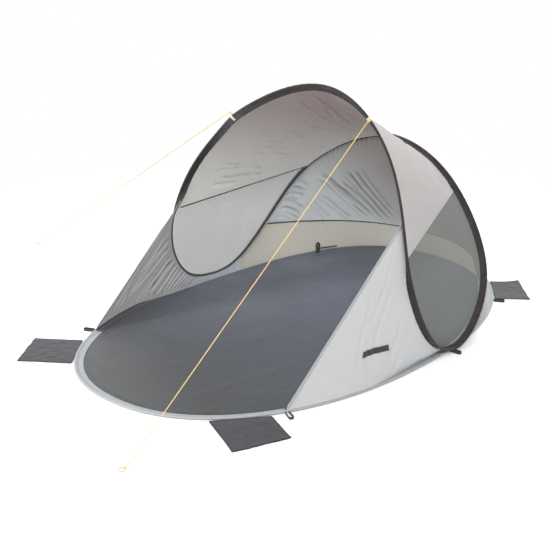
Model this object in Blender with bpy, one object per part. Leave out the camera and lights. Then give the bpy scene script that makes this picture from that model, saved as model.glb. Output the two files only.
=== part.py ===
# Pop-up beach tent: one sprung saddle hoop over a sprung oval floor ring, with cloth and mesh
# panels, peg loops, sand pockets and two guy lines.
# Metres, +Z up, the mouth faces -Y, the origin is on the ground at the middle of the floor.

import math

import bmesh
import bpy
import numpy as np

# Overall sizes
FLOOR_LENGTH = 1.96
FLOOR_WIDTH = 1.20
HOOP_HEIGHT = 0.95

# Floor outline: widest line as a share of the length, how square each half is, and how far
# the back tip sways to the left as a share of the half width
WIDEST_SHARE = 0.46
FRONT_SQUARENESS = 2.19
BACK_SQUARENESS = 2.37
BACK_SWAY_SHARE = 0.15

# Spring wire, its crimps and the cloth sleeves round it
WIRE_RADIUS = 0.002
CRIMP_WALL = 0.0008
CRIMP_LENGTH = 0.030
BORE_RADIUS = 0.0034
SLEEVE_WALL = 0.0012
SLEEVE_RADIUS = BORE_RADIUS + SLEEVE_WALL
SLEEVE_WIDTH = 0.021
SLEEVE_TAPER = 0.012
HEM_WIDTH = 0.032
SEAM_EDGE = 0.0012
HEM_THICKNESS = 0.0018
HEM_SLIT = 0.002

# Clearances between pieces
GAP = 0.0003
SEAM_GAP = 0.0015
CLOTH_TRIM = 0.0006

# Cloth
CLOTH = 0.0010
SHEET_THICKNESS = 0.0015
ROOF_SAG = 0.010
FOLD_DEPTH = 0.0045
WING_FOLDS = 5
# The wing's foot runs over the wire's channel, then draws in to the other panels' line by the leg
WING_DRAW_SHARES = (0.45, 0.85)
BACK_FOLDS = 6
# The rear seam lies in a plane that falls towards the back: its height over the middle of the floor
REAR_SEAM_HEIGHT = 0.238
REAR_SEAM_FALL_SHARE = 0.114

# Tapes and trims
TAPE_WIDTH = 0.006
TAPE_THICKNESS = 0.0008
TAPE_STAND_OFF = 0.0016
BINDING_WIDTH = 0.008
BINDING_THICKNESS = 0.0024
PATCH_THICKNESS = 0.0008
PATCH_STAND_OFF = 0.0016
# Patch corners as shares along the wing and down it: front top, front foot, back top, back foot
PATCH_SHARES = ((0.231, 0.562), (0.257, 0.607), (0.347, 0.387), (0.381, 0.432))

# Peg loops
LOOP_REACH = 0.044
LOOP_RADIUS = 0.008
WEB_THICKNESS = 0.0015
WEB_HEIGHT = 0.009

# Sand pockets
POCKET_WIDTH = 0.20
POCKET_DEPTH = 0.19
PLY = 0.0016
POCKET_SPACE = 0.0016
POCKET_BORDER = 0.006
POCKET_GAP = 0.0006

# Closing strap along the foot of the back wall and the ring standing at its end
STRAP_WIDTH = 0.008
STRAP_THICKNESS = 0.0015
STRAP_HEIGHT = 0.014
STRAP_STAND_OFF = 0.0022
STRAP_SHARES = (0.369, 0.400, 0.460)
RING_SHARE = 0.345
RING_REACH = 0.030
RING_HEIGHT = 0.052
RING_WIDTH = 0.024
RING_THICKNESS = 0.0060

# Guy lines
TAB_LENGTH = 0.014
TAB_WALL = 0.0012
TAB_CLEARANCE = 0.0006
TAB_NOSE = 0.008
TAB_OVERLAP = 0.016
ROPE_DIAMETER = 0.003
KNOT_RADIUS = 0.005
EYE_RADIUS = 0.011
RIGHT_GUY_END = (0.375, -1.222)
LEFT_GUY_END = (-1.533, -0.167)
ROPE_POINTS = 24

HALF_WIDTH = FLOOR_WIDTH / 2
HALF_LENGTH = FLOOR_LENGTH / 2
FOOT_HEIGHT = 2 * SLEEVE_RADIUS + GAP + SLEEVE_RADIUS

# The hoop's route from the front apex down the right leg, over the back and up the left leg.
# Across, along and up, as shares of the half width, the half length and the hoop's height.
HOOP_ROUTE_SHARES = (
    (-0.035, -0.290, 0.908),
    (0.445, -0.215, 1.000),
    (0.805, -0.145, 0.756),
    (0.925, -0.125, 0.396),
    (0.990, -0.045, 0.117),
    (1.010, 0.075, 0.006),
    (1.025, 0.205, 0.038),
    (0.955, 0.355, 0.242),
    (0.660, 0.435, 0.500),
    (0.320, 0.470, 0.640),
    (-0.020, 0.490, 0.673),
    (-0.345, 0.485, 0.611),
    (-0.665, 0.430, 0.457),
    (-0.865, 0.325, 0.211),
    (-0.965, 0.190, 0.035),
    (-1.003, 0.040, 0.004),
    (-0.990, -0.100, 0.070),
    (-0.930, -0.190, 0.277),
    (-0.720, -0.200, 0.562),
    (-0.390, -0.220, 0.775),
)

# Where things sit along the hoop, as shares of its whole way round from the front apex
RIGHT_SHARES = {
    "guy": 0.078,
    "wing": 0.130,
    "seam": 0.150,
    "turn": 0.158,
    "foot": 0.265,
    "gusset": 0.310,
    "mesh": 0.404,
}
LEFT_SHARES = {
    "guy": 0.023,
    "wing": 0.122,
    "turn": 0.120,
    "seam": 0.128,
    "foot": 0.247,
    "gusset": 0.308,
    "mesh": 0.408,
}
BACK_APEX_SHARE = 0.5

# How far the flat sleeve leans along the tent at the apex, on the upper front leg, below the
# turn and at the back apex, and the shares of the way round between which it eases
APEX_LEAN_SHARE = -0.2
LEG_LEAN_SHARE = -1.0
WINDOW_LEAN_SHARE = 0.8
BACK_LEAN_SHARE = 0.6
LEAN_SHARES = (0.050, 0.095)
TURN_SHARE = 0.020

# Where things sit along the floor, as shares of the half length from the middle
PEG_CORNER_SHARE = -0.66
BACK_LOOP_SHARE = 0.655

# Each sand pocket: its place along the floor, its depth, how far its outer edge slips along the
# hem and how much longer its forward side is, all as shares
POCKET_SHARES = {
    "front_right": (-0.791, 0.93, 0.24, -0.16),
    "front_left": (-0.824, 1.00, -0.08, 0.04),
    "back_right": (0.760, 0.78, 0.02, 0.04),
    "back_left": (0.775, 0.78, -0.02, 0.04),
}

# How far the upper back panel stops short of the very ends of the rear seam
SEAM_END_SHARE = 0.2

# Mesh steps along the hoop and the floor ring
ARCH_STEPS = 9
SEAM_STEPS = 1
WINDOW_STEPS = 9
GUSSET_STEPS = 4
LEG_STEPS = SEAM_STEPS + WINDOW_STEPS
MESH_STEPS = WINDOW_STEPS - GUSSET_STEPS
BACK_STEPS = ARCH_STEPS + SEAM_STEPS
REAR_STEPS = MESH_STEPS + BACK_STEPS
LIP_STEPS = 10

COLOURS = {
    "sleeve_cloth": ((0.06, 0.045, 0.045), 0.8, 0.0),
    "hem_cloth": ((0.55, 0.56, 0.56), 0.8, 0.0),
    "light_cloth": ((0.72, 0.73, 0.73), 0.75, 0.0),
    "roof_cloth": ((0.60, 0.60, 0.60), 0.75, 0.0),
    "mesh_cloth": ((0.40, 0.40, 0.38), 0.85, 0.0),
    "floor_cloth": ((0.11, 0.12, 0.13), 0.7, 0.0),
    "pocket_cloth": ((0.12, 0.12, 0.14), 0.8, 0.0),
    "tape_cloth": ((0.12, 0.11, 0.11), 0.8, 0.0),
    "webbing": ((0.04, 0.045, 0.045), 0.8, 0.0),
    "tab_webbing": ((0.78, 0.74, 0.62), 0.8, 0.0),
    "patch_cloth": ((0.20, 0.20, 0.21), 0.8, 0.0),
    "spring_steel": ((0.55, 0.55, 0.57), 0.35, 1.0),
    "crimp_steel": ((0.62, 0.62, 0.64), 0.4, 1.0),
    "guy_rope": ((0.80, 0.58, 0.16), 0.7, 0.0),
}


def clear_scene():
    for thing in list(bpy.data.objects):
        bpy.data.objects.remove(thing, do_unlink=True)


def material(kind):
    found = bpy.data.materials.get(kind)
    if found:
        return found
    colour, roughness, metallic = COLOURS[kind]
    made = bpy.data.materials.new(kind)
    made.use_nodes = True
    shader = made.node_tree.nodes["Principled BSDF"]
    shader.inputs["Base Color"].default_value = (*colour, 1.0)
    shader.inputs["Roughness"].default_value = roughness
    shader.inputs["Metallic"].default_value = metallic
    return made


def unit(vector):
    return vector / np.linalg.norm(vector)


def blend(a, b, share):
    return a + (b - a) * share


def add_object(name, vertices, faces, kind, closed=True):
    mesh = bpy.data.meshes.new(name)
    mesh.from_pydata([tuple(v) for v in vertices], [], faces)
    work = bmesh.new()
    work.from_mesh(mesh)
    bmesh.ops.remove_doubles(work, verts=work.verts, dist=1e-6)
    if closed:
        bmesh.ops.recalc_face_normals(work, faces=work.faces)
    work.to_mesh(mesh)
    work.free()
    mesh.shade_smooth()
    mesh.set_sharp_from_angle(angle=math.radians(40))
    mesh.materials.append(material(kind))
    thing = bpy.data.objects.new(name, mesh)
    bpy.context.scene.collection.objects.link(thing)
    return thing


# Hoop: a smooth closed curve through the route, then frames at the mesh stations


def smooth_ring(points):
    """Slopes of the closed cubic curve that bends smoothly through the points."""
    count = len(points)
    system = np.zeros((count, count))
    right = np.zeros((count, 3))
    for i in range(count):
        before, after = (i - 1) % count, (i + 1) % count
        system[i, before] += 1
        system[i, i] += 4
        system[i, after] += 1
        right[i] = 3 * (points[after] - points[before])
    return np.linalg.solve(system, right)


def hoop_points():
    rise = HOOP_HEIGHT - FOOT_HEIGHT
    scale = np.array([HALF_WIDTH, HALF_LENGTH, rise])
    return np.array(HOOP_ROUTE_SHARES) * scale + np.array([0, 0, FOOT_HEIGHT])


HOOP_KNOTS = hoop_points()
HOOP_SLOPES = smooth_ring(HOOP_KNOTS)


def hoop_at(share):
    """Point and direction of the hoop at a share of its way round."""
    count = len(HOOP_KNOTS)
    place = (share % 1.0) * count
    i = int(place) % count
    t = place - int(place)
    p0, p1 = HOOP_KNOTS[i], HOOP_KNOTS[(i + 1) % count]
    m0, m1 = HOOP_SLOPES[i], HOOP_SLOPES[(i + 1) % count]
    a, b = p1 - p0 - m0, m1 - m0
    point = p0 + t * m0 + t * t * (3 * a - b) + t**3 * (b - 2 * a)
    slope = m0 + 2 * t * (3 * a - b) + 3 * t * t * (b - 2 * a)
    return point, unit(slope)


def lean_at(share):
    """How far the flat sleeve leans along the tent, easing between its set places."""
    share = share % 1.0
    turn = RIGHT_SHARES["turn"] if share < BACK_APEX_SHARE else LEFT_SHARES["turn"]
    place = min(share, 1.0 - share)
    knots = (
        (0.0, APEX_LEAN_SHARE),
        (LEAN_SHARES[0], APEX_LEAN_SHARE),
        (LEAN_SHARES[1], LEG_LEAN_SHARE),
        (turn - TURN_SHARE, LEG_LEAN_SHARE),
        (turn + TURN_SHARE, WINDOW_LEAN_SHARE),
        (BACK_APEX_SHARE, BACK_LEAN_SHARE),
    )
    for (start, before), (end, after) in zip(knots, knots[1:]):
        if place <= end:
            t = max(0.0, place - start) / (end - start)
            return blend(before, after, t * t * (3 - 2 * t))
    return BACK_LEAN_SHARE


def hoop_frame(share):
    """Wire centre, inward direction along the flat sleeve, and the direction through it."""
    point, along = hoop_at(share)
    fore = lean_at(share)
    middle_share = 0.37
    up = point[2] / HOOP_HEIGHT - middle_share
    out = np.array([point[0] / HALF_WIDTH, fore, up])
    out = unit(out - along * out.dot(along))
    return point, -out, np.cross(along, -out)


def spread(start, end, steps):
    return [blend(start, end, i / steps) for i in range(steps)]


def half_hoop_shares(shares):
    """Stations from the front apex to the back apex down one side."""
    places = ("wing", "seam", "foot", "gusset", "mesh")
    stops = [0.0] + [shares[name] for name in places] + [BACK_APEX_SHARE]
    steps = (ARCH_STEPS, SEAM_STEPS, WINDOW_STEPS, GUSSET_STEPS, MESH_STEPS, BACK_STEPS)
    found = []
    for start, end, count in zip(stops, stops[1:], steps):
        found += spread(start, end, count)
    return found


WING_STATION = ARCH_STEPS
SEAM_STATION = WING_STATION + SEAM_STEPS
FOOT_STATION = SEAM_STATION + WINDOW_STEPS
GUSSET_STATION = FOOT_STATION + GUSSET_STEPS
MESH_STATION = GUSSET_STATION + MESH_STEPS
BACK_STATION = MESH_STATION + BACK_STEPS


def hoop_stations():
    right = half_hoop_shares(RIGHT_SHARES)
    left = half_hoop_shares(LEFT_SHARES)
    backwards = [1.0 - share for share in left[1:]]
    return right + [BACK_APEX_SHARE] + backwards[::-1]


HOOP_SHARES = hoop_stations()
HOOP = [hoop_frame(share) for share in HOOP_SHARES]
HOOP_COUNT = len(HOOP)


def side_station(side, station):
    """Index of a station counted from the front apex down one side."""
    return station if side > 0 else (HOOP_COUNT - station) % HOOP_COUNT


def hoop_seam(index):
    """Where the cloth panels begin, just inside the sleeve's seam edge."""
    centre, inward, _ = HOOP[index % HOOP_COUNT]
    return centre + inward * (SLEEVE_WIDTH + SEAM_GAP)


def hoop_between(share):
    """Frame on the straight run between the two stations round a share."""
    share = share % 1.0
    ends = HOOP_SHARES + [1.0]
    for i in range(HOOP_COUNT):
        if ends[i] <= share <= ends[i + 1]:
            t = (share - ends[i]) / (ends[i + 1] - ends[i])
            a, b = HOOP[i], HOOP[(i + 1) % HOOP_COUNT]
            return tuple(blend(x, y, t) for x, y in zip(a, b))
    return HOOP[0]


# Floor ring: an oval of two half super-ellipses


def outline_xy(angle, side):
    """Point of the floor's outer edge: angle -90 front tip, 0 widest, 90 back tip."""
    power = FRONT_SQUARENESS if angle < 0 else BACK_SQUARENESS
    reach = FLOOR_LENGTH * (WIDEST_SHARE if angle < 0 else 1 - WIDEST_SHARE)
    widest = FLOOR_LENGTH * WIDEST_SHARE - HALF_LENGTH
    c, s = math.cos(math.radians(angle)), math.sin(math.radians(angle))
    x = side * HALF_WIDTH * max(c, 0.0) ** (2 / power)
    share = math.copysign(abs(s) ** (2 / power), s)
    if angle > 0:
        x -= BACK_SWAY_SHARE * HALF_WIDTH * share**2
    return np.array([x, widest + reach * share, 0.0])


def outline_angle(y):
    """Outline angle at a place along the tent."""
    widest = FLOOR_LENGTH * WIDEST_SHARE - HALF_LENGTH
    front = y < widest
    power = FRONT_SQUARENESS if front else BACK_SQUARENESS
    reach = FLOOR_LENGTH * (WIDEST_SHARE if front else 1 - WIDEST_SHARE)
    share = min(1.0, abs(y - widest) / reach)
    return math.copysign(math.degrees(math.asin(share ** (power / 2))), y - widest)


def side_angles(side):
    """Outline angles at the stations from the front tip to the back tip down one side."""
    foot_y = hoop_seam(side_station(side, FOOT_STATION))[1]
    gusset_y = hoop_seam(side_station(side, GUSSET_STATION))[1]
    stops = (
        -90.0,
        outline_angle(PEG_CORNER_SHARE * HALF_LENGTH),
        outline_angle(foot_y),
        outline_angle(gusset_y),
        90.0,
    )
    steps = (LIP_STEPS, LEG_STEPS, GUSSET_STEPS, REAR_STEPS)
    found = []
    for start, end, count in zip(stops, stops[1:], steps):
        found += spread(start, end, count)
    return found


PEG_BASE = LIP_STEPS
FOOT_BASE = PEG_BASE + LEG_STEPS
GUSSET_BASE = FOOT_BASE + GUSSET_STEPS
BACK_BASE = GUSSET_BASE + REAR_STEPS


def base_ring():
    """Wire centres and inward directions round the floor, from the front tip by the right."""
    right = [outline_xy(a, 1) for a in side_angles(1)]
    left = [outline_xy(a, -1) for a in side_angles(-1)[1:]]
    edge = right + [outline_xy(90.0, 1)] + left[::-1]
    count = len(edge)
    frames = []
    for i in range(count):
        along = unit(edge[(i + 1) % count] - edge[i - 1])
        inward = np.array([-along[1], along[0], 0.0])
        centre = edge[i] + inward * SLEEVE_RADIUS
        frames.append((centre + np.array([0, 0, SLEEVE_RADIUS]), inward))
    return frames


BASE = base_ring()
BASE_COUNT = len(BASE)
UP = np.array([0.0, 0.0, 1.0])
HEM_SEAM = HEM_WIDTH - SLEEVE_RADIUS
PANEL_FOOT = HEM_SEAM + GAP


def base_station(side, station):
    return station if side > 0 else (BASE_COUNT - station) % BASE_COUNT


def base_seam(index):
    """Where the cloth panels end, just above the line where hem and groundsheet meet."""
    centre, inward = BASE[index % BASE_COUNT]
    level = HEM_THICKNESS + CLOTH / 2 + GAP - SLEEVE_RADIUS
    return centre + inward * PANEL_FOOT + UP * level


def wing_seam(side, step):
    """Foot of a wing: over the wire's channel in front, on the other panels' line by the leg."""
    centre, inward = BASE[base_station(side, PEG_BASE + step)]
    start, end = WING_DRAW_SHARES
    share = min(max((step / LEG_STEPS - start) / (end - start), 0.0), 1.0)
    reach = PANEL_FOOT * share * share * (3 - 2 * share)
    top = blend(SLEEVE_RADIUS, HEM_THICKNESS - SLEEVE_RADIUS, min(1.0, reach / SLEEVE_TAPER))
    return centre + inward * reach + UP * (top + CLOTH / 2 + GAP)


def base_between(y, side):
    """Outer edge point and inward direction of the ring at a place along the tent."""
    for station in range(BACK_BASE):
        ends = []
        for near in (station, station + 1):
            centre, inward = BASE[base_station(side, near)]
            ends.append(centre - inward * SLEEVE_RADIUS - UP * SLEEVE_RADIUS)
        if ends[0][1] <= y <= ends[1][1]:
            break
    share = (y - ends[0][1]) / (ends[1][1] - ends[0][1])
    along = unit(ends[1] - ends[0]) * side
    return blend(ends[0], ends[1], share), np.array([-along[1], along[0], 0.0])


# Solids


def ring_faces(rings, size, wrap):
    """Quads between neighbouring rings of points, all numbered in one list."""
    faces = []
    count = rings if wrap else rings - 1
    for i in range(count):
        j = (i + 1) % rings
        for k in range(size):
            n = (k + 1) % size
            faces.append((i * size + k, i * size + n, j * size + n, j * size + k))
    return faces


def polygon(radius, sides, turn=0.0):
    steps = [2 * math.pi * (i + turn) / sides for i in range(sides)]
    return [(radius * math.cos(a), radius * math.sin(a)) for a in steps]


def place(frame, profile):
    centre, across, through = frame
    return [centre + across * a + through * b for a, b in profile]


def solid_tube(name, frames, profile, kind, wrap):
    points = [p for frame in frames for p in place(frame, profile)]
    size = len(profile)
    faces = ring_faces(len(frames), size, wrap)
    if not wrap:
        last = (len(frames) - 1) * size
        faces.append(tuple(range(size)))
        faces.append(tuple(range(last, last + size)))
    return add_object(name, points, faces, kind)


def hollow_tube(name, frames, outer, inner, kind):
    """An open-ended tube: outer skin, bore, and a flat ring at each end."""
    size, bore = len(outer), len(inner)
    points = [p for frame in frames for p in place(frame, outer)]
    shift = len(points)
    points += [p for frame in frames for p in place(frame, inner)]
    faces = ring_faces(len(frames), size, False)
    faces += [tuple(shift + k for k in face) for face in ring_faces(len(frames), bore, False)]
    work = bmesh.new()
    vertices = [work.verts.new(tuple(p)) for p in points]
    for face in faces:
        work.faces.new([vertices[k] for k in face])
    for end in (0, len(frames) - 1):
        outside = [vertices[end * size + k] for k in range(size)]
        inside = [vertices[shift + end * bore + k] for k in range(bore)]
        edges = loop_edges(work, outside) + loop_edges(work, inside)
        bmesh.ops.triangle_fill(work, use_beauty=True, edges=edges)
    bmesh.ops.recalc_face_normals(work, faces=work.faces)
    mesh = bpy.data.meshes.new(name)
    work.to_mesh(mesh)
    work.free()
    mesh.shade_smooth()
    mesh.set_sharp_from_angle(angle=math.radians(40))
    mesh.materials.append(material(kind))
    thing = bpy.data.objects.new(name, mesh)
    bpy.context.scene.collection.objects.link(thing)
    return thing


def loop_edges(work, ring):
    pairs = zip(ring, ring[1:] + ring[:1])
    return [work.edges.get(pair) or work.edges.new(pair) for pair in pairs]


def sleeve_profile():
    r, thin = SLEEVE_RADIUS, SEAM_EDGE / 2
    diagonal = r * math.sqrt(0.5)
    return [
        (0, r),
        (-diagonal, diagonal),
        (-r, 0),
        (-diagonal, -diagonal),
        (0, -r),
        (SLEEVE_TAPER, -thin),
        (SLEEVE_WIDTH, -thin),
        (SLEEVE_WIDTH, thin),
        (SLEEVE_TAPER, thin),
    ]


def hem_profile():
    r = SLEEVE_RADIUS
    diagonal = r * math.sqrt(0.5)
    return [
        (0, r),
        (-diagonal, diagonal),
        (-r, 0),
        (-diagonal, -diagonal),
        (0, -r),
        (HEM_SEAM, -r),
        (HEM_SEAM, HEM_THICKNESS - r),
        (SLEEVE_TAPER, HEM_THICKNESS - r),
    ]


def base_frames():
    return [(centre, inward, UP) for centre, inward in BASE]


def make_wires():
    wire = polygon(WIRE_RADIUS, 6)
    solid_tube("hoop_wire", HOOP, wire, "spring_steel", True)
    solid_tube("base_wire", base_frames(), wire, "spring_steel", True)


def crimp(name, start, end):
    """A short crimped tube on the straight run of wire between two stations."""
    length = np.linalg.norm(end[0] - start[0])
    half = CRIMP_LENGTH / 2 / length
    frames = []
    for share in (0.5 - half, 0.5 + half):
        frames.append(tuple(blend(a, b, share) for a, b in zip(start, end)))
    inside = WIRE_RADIUS + GAP
    outer = polygon(inside + CRIMP_WALL, 6)
    hollow_tube(name, frames, outer, polygon(inside, 6), "crimp_steel")


def make_crimps():
    crimp("hoop_crimp", HOOP[BACK_STATION], HOOP[BACK_STATION + 1])
    frames = base_frames()
    crimp("base_crimp", frames[1], frames[2])


def make_sleeves():
    """The front sleeve covers the front arch down to both feet, the back sleeve the rest."""
    bore = polygon(BORE_RADIUS, 6)
    right = side_station(1, FOOT_STATION)
    left = side_station(-1, FOOT_STATION)
    front = [HOOP[(left + i) % HOOP_COUNT] for i in range(HOOP_COUNT - left + right + 1)]
    back = [HOOP[right + i] for i in range(left - right + 1)]
    for name, frames in (("front_sleeve", front), ("back_sleeve", back)):
        run = shorten(frames, GAP)
        hollow_tube(name, run, sleeve_profile(), bore, "sleeve_cloth")


def shorten(frames, cut):
    """Frames with each end drawn back along the run."""
    run = list(frames)
    for end, beside in ((0, 1), (-1, -2)):
        share = cut / np.linalg.norm(run[beside][0] - run[end][0])
        run[end] = tuple(blend(a, b, share) for a, b in zip(run[end], run[beside]))
    return run


def make_hem():
    """The floor ring's sleeve, slit at the back where the wire was fed in."""
    frames = base_frames()
    back = BACK_BASE
    run = [frames[(back + i) % BASE_COUNT] for i in range(BASE_COUNT + 1)]
    bore = polygon(BORE_RADIUS, 6)
    hollow_tube("base_hem", shorten(run, HEM_SLIT / 2), hem_profile(), bore, "hem_cloth")


def make_groundsheet():
    edge = []
    for centre, inward in BASE:
        edge.append(centre + inward * (HEM_SEAM + GAP) - UP * SLEEVE_RADIUS)
    count = len(edge)
    points = edge + [p + UP * SHEET_THICKNESS for p in edge]
    faces = [tuple(range(count)), tuple(range(count, 2 * count))]
    faces += [(i, (i + 1) % count, count + (i + 1) % count, count + i) for i in range(count)]
    add_object("groundsheet", points, faces, "floor_cloth")


# Cloth panels


def ruled(edge_a, edge_b, steps):
    return [[blend(a, b, j / steps) for j in range(steps + 1)] for a, b in zip(edge_a, edge_b)]


def finer(points, times):
    found = []
    for a, b in zip(points, points[1:]):
        found += [blend(a, b, i / times) for i in range(times)]
    return found + [points[-1]]


def drawn(point, target, cut):
    """Point moved towards a target by a cut."""
    way = target - point
    length = np.linalg.norm(way)
    return point if length < cut else point + way * (cut / length)


def trim_rows(rows, first=True, last=True, cut=CLOTH_TRIM):
    """Rows drawn in from their seams so that neighbouring panels stay clear."""
    kept = [list(row) for row in rows]
    for row, source in zip(kept, rows):
        row[0] = drawn(source[0], source[1], cut)
        row[-1] = drawn(source[-1], source[-2], cut)
    if first:
        kept[0] = [drawn(a, b, cut) for a, b in zip(kept[0], kept[1])]
    if last:
        kept[-1] = [drawn(a, b, cut) for a, b in zip(kept[-1], kept[-2])]
    return kept


def grid_normals(rows):
    grid = np.array(rows)
    down = np.gradient(grid, axis=0)
    over = np.gradient(grid, axis=1)
    normal = np.cross(down, over)
    length = np.linalg.norm(normal, axis=2, keepdims=True)
    return normal / np.maximum(length, 1e-9)


def folded(rows, folds, depth):
    """Rows with soft folds that run along the rows and fade out at every seam."""
    normal = grid_normals(rows)
    count, width = len(rows) - 1, len(rows[0]) - 1
    lengths = [np.linalg.norm(row[-1] - row[0]) for row in rows]
    made = []
    for i, row in enumerate(rows):
        wave = math.sin(2 * math.pi * folds * i / count) * math.sin(math.pi * i / count)
        wave *= (lengths[i] / max(lengths)) ** 2
        line = []
        for j, point in enumerate(row):
            lift = depth * wave * math.sin(math.pi * j / width)
            line.append(point + normal[i][j] * lift)
        made.append(line)
    return made


def cloth_panel(name, rows, kind, thickness=CLOTH):
    """A sheet through the rows, thickened evenly about its middle."""
    width = len(rows[0])
    points = [p for row in rows for p in row]
    faces = []
    for i in range(len(rows) - 1):
        for j in range(width - 1):
            a = i * width + j
            faces.append((a, a + 1, a + width + 1, a + width))
    thing = add_object(name, points, faces, kind, closed=False)
    solid = thing.modifiers.new("thickness", "SOLIDIFY")
    solid.thickness = thickness
    solid.offset = 0.0
    return thing


def side_name(side):
    return "right" if side > 0 else "left"


def make_roof():
    """The roof runs from the front arch to the back arch above the two side seams."""
    span = range(-SEAM_STATION, SEAM_STATION + 1)
    front, back = [], []
    for k in span:
        side = 1 if k >= 0 else -1
        front.append(hoop_seam(side_station(side, abs(k))))
        back.append(hoop_seam(side_station(side, BACK_STATION - abs(k))))
    steps = 6
    rows = ruled(front, back, steps)
    for k, row in zip(span, rows):
        dip = ROOF_SAG * math.cos(math.pi * k / (2 * SEAM_STATION))
        for j in range(1, steps):
            row[j] = row[j] - UP * dip * math.sin(math.pi * j / steps)
    cloth_panel("roof_panel", trim_rows(rows), "roof_cloth")
    for side, row, beside in ((1, rows[-1], rows[-2]), (-1, rows[0], rows[1])):
        make_side_tape(side, row, beside)


def make_side_tape(side, seam, beside):
    """A tape over the inside of the seam between roof and side mesh."""
    frames = []
    run = [blend(seam[0], seam[-1], j / (len(seam) - 1)) for j in range(len(seam))]
    for j, point in enumerate(run):
        along = unit(run[min(j + 1, len(run) - 1)] - run[max(j - 1, 0)])
        across = unit(beside[j] - point)
        across = unit(across - along * across.dot(along))
        inside = np.cross(along, across)
        if inside[0] * side > 0:
            inside = -inside
        frames.append((point + inside * TAPE_STAND_OFF, across, inside))
    frames = shorten(frames, SLEEVE_TAPER)
    profile = box_profile(TAPE_WIDTH, TAPE_THICKNESS)
    solid_tube("seam_tape_" + side_name(side), frames, profile, "tape_cloth", False)


def box_profile(width, height):
    w, h = width / 2, height / 2
    return [(-w, -h), (w, -h), (w, h), (-w, h)]


def make_side_mesh(side):
    """The side window between the two legs, from the side seam down to the foot."""
    front, back = [], []
    for k in range(WINDOW_STEPS + 1):
        front.append(hoop_seam(side_station(side, SEAM_STATION + k)))
        back.append(hoop_seam(side_station(side, MESH_STATION - k)))
    rows = trim_rows(ruled(front, back, 5), last=False, cut=2 * CLOTH_TRIM)
    cloth_panel("side_mesh_" + side_name(side), rows, "mesh_cloth")


def wing_rows(side):
    """The front wing, ruled from the front leg to the floor ring."""
    leg = [hoop_seam(side_station(side, WING_STATION + k)) for k in range(LEG_STEPS + 1)]
    floor = [wing_seam(side, k) for k in range(LEG_STEPS + 1)]
    rows = ruled(finer(leg, 2), finer(floor, 2), 5)
    return folded(rows, WING_FOLDS, FOLD_DEPTH)


def make_wing(side):
    rows = wing_rows(side)
    edge = unit(rows[0][-1] - rows[0][0])
    trimmed = trim_rows(rows, first=False)
    for j, (point, beside) in enumerate(zip(trimmed[0], trimmed[1])):
        slant = np.linalg.norm(np.cross(edge, unit(beside - point)))
        trimmed[0][j] = drawn(point, beside, (BINDING_WIDTH / 2 + CLOTH_TRIM) / slant)
    cloth_panel("wing_" + side_name(side), trimmed, "light_cloth")
    make_wing_binding(side, rows)
    if side > 0:
        make_patch(rows)


def make_wing_binding(side, rows):
    """The folded tape along the wing's free front edge."""
    top, foot = rows[0][0], rows[0][-1]
    along = unit(foot - top)
    across = rows[1][2] - rows[0][2]
    across = unit(across - along * across.dot(along))
    start = top + along * 2 * SLEEVE_RADIUS
    end = foot - along * BINDING_WIDTH
    through = np.cross(along, across)
    frames = [(start, across, through), (end, across, through)]
    profile = box_profile(BINDING_WIDTH, BINDING_THICKNESS)
    solid_tube("wing_binding_" + side_name(side), frames, profile, "hem_cloth", False)


def grid_at(grid, along, down):
    """Point of a grid at shares of its two ways."""
    row, column = along * (len(grid) - 1), down * (len(grid[0]) - 1)
    i, j = int(row), int(column)
    upper = blend(grid[i][j], grid[i + 1][j], row - i)
    lower = blend(grid[i][j + 1], grid[i + 1][j + 1], row - i)
    return blend(upper, lower, column - j)


def make_patch(rows):
    """A small plain patch on the outside of the right wing, following its cloth."""
    normals = grid_normals(rows)
    outward = 1.0 if normals[len(rows) // 2][2][0] > 0 else -1.0
    raised = np.array(rows) + normals * outward * PATCH_STAND_OFF
    front_top, front_foot, back_top, back_foot = np.array(PATCH_SHARES)
    tops = ruled([front_top], [back_top], 6)[0]
    feet = ruled([front_foot], [back_foot], 6)[0]
    patch = [[grid_at(raised, *place) for place in row] for row in ruled(tops, feet, 2)]
    cloth_panel("plain_patch", patch, "patch_cloth", PATCH_THICKNESS)


def make_gusset(side):
    """The light strip behind the foot, between the back leg and the floor ring."""
    leg, floor = [], []
    for k in range(GUSSET_STEPS + 1):
        leg.append(hoop_seam(side_station(side, FOOT_STATION + k)))
        floor.append(base_seam(base_station(side, FOOT_BASE + k)))
    rows = trim_rows(ruled(leg, floor, 2))
    cloth_panel("gusset_" + side_name(side), rows, "light_cloth")


def back_wall_rulings():
    """Straight lines from the back arch to the floor, from the right gusset to the left one."""
    rulings = []
    for k in range(2 * REAR_STEPS + 1):
        rulings.append((hoop_seam(GUSSET_STATION + k), base_seam(GUSSET_BASE + k)))
    return rulings


def above_seam(point):
    """Height of a point over the plane of the rear seam."""
    return point[2] + REAR_SEAM_FALL_SHARE * point[1] - REAR_SEAM_HEIGHT


def rulings_at_seam_ends(rulings):
    """The list with a ruling added where the arch rises through the rear seam's plane."""
    found = [rulings[0]]
    for before, after in zip(rulings, rulings[1:]):
        low, high = above_seam(before[0]), above_seam(after[0])
        if low * high < 0:
            share = low / (low - high)
            found.append(tuple(blend(a, b, share) for a, b in zip(before, after)))
        found.append(after)
    return found


def seam_share(top, foot):
    """How far down a ruling the rear seam crosses it."""
    if above_seam(top) <= 0:
        return 0.0
    return above_seam(top) / (above_seam(top) - above_seam(foot))


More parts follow.
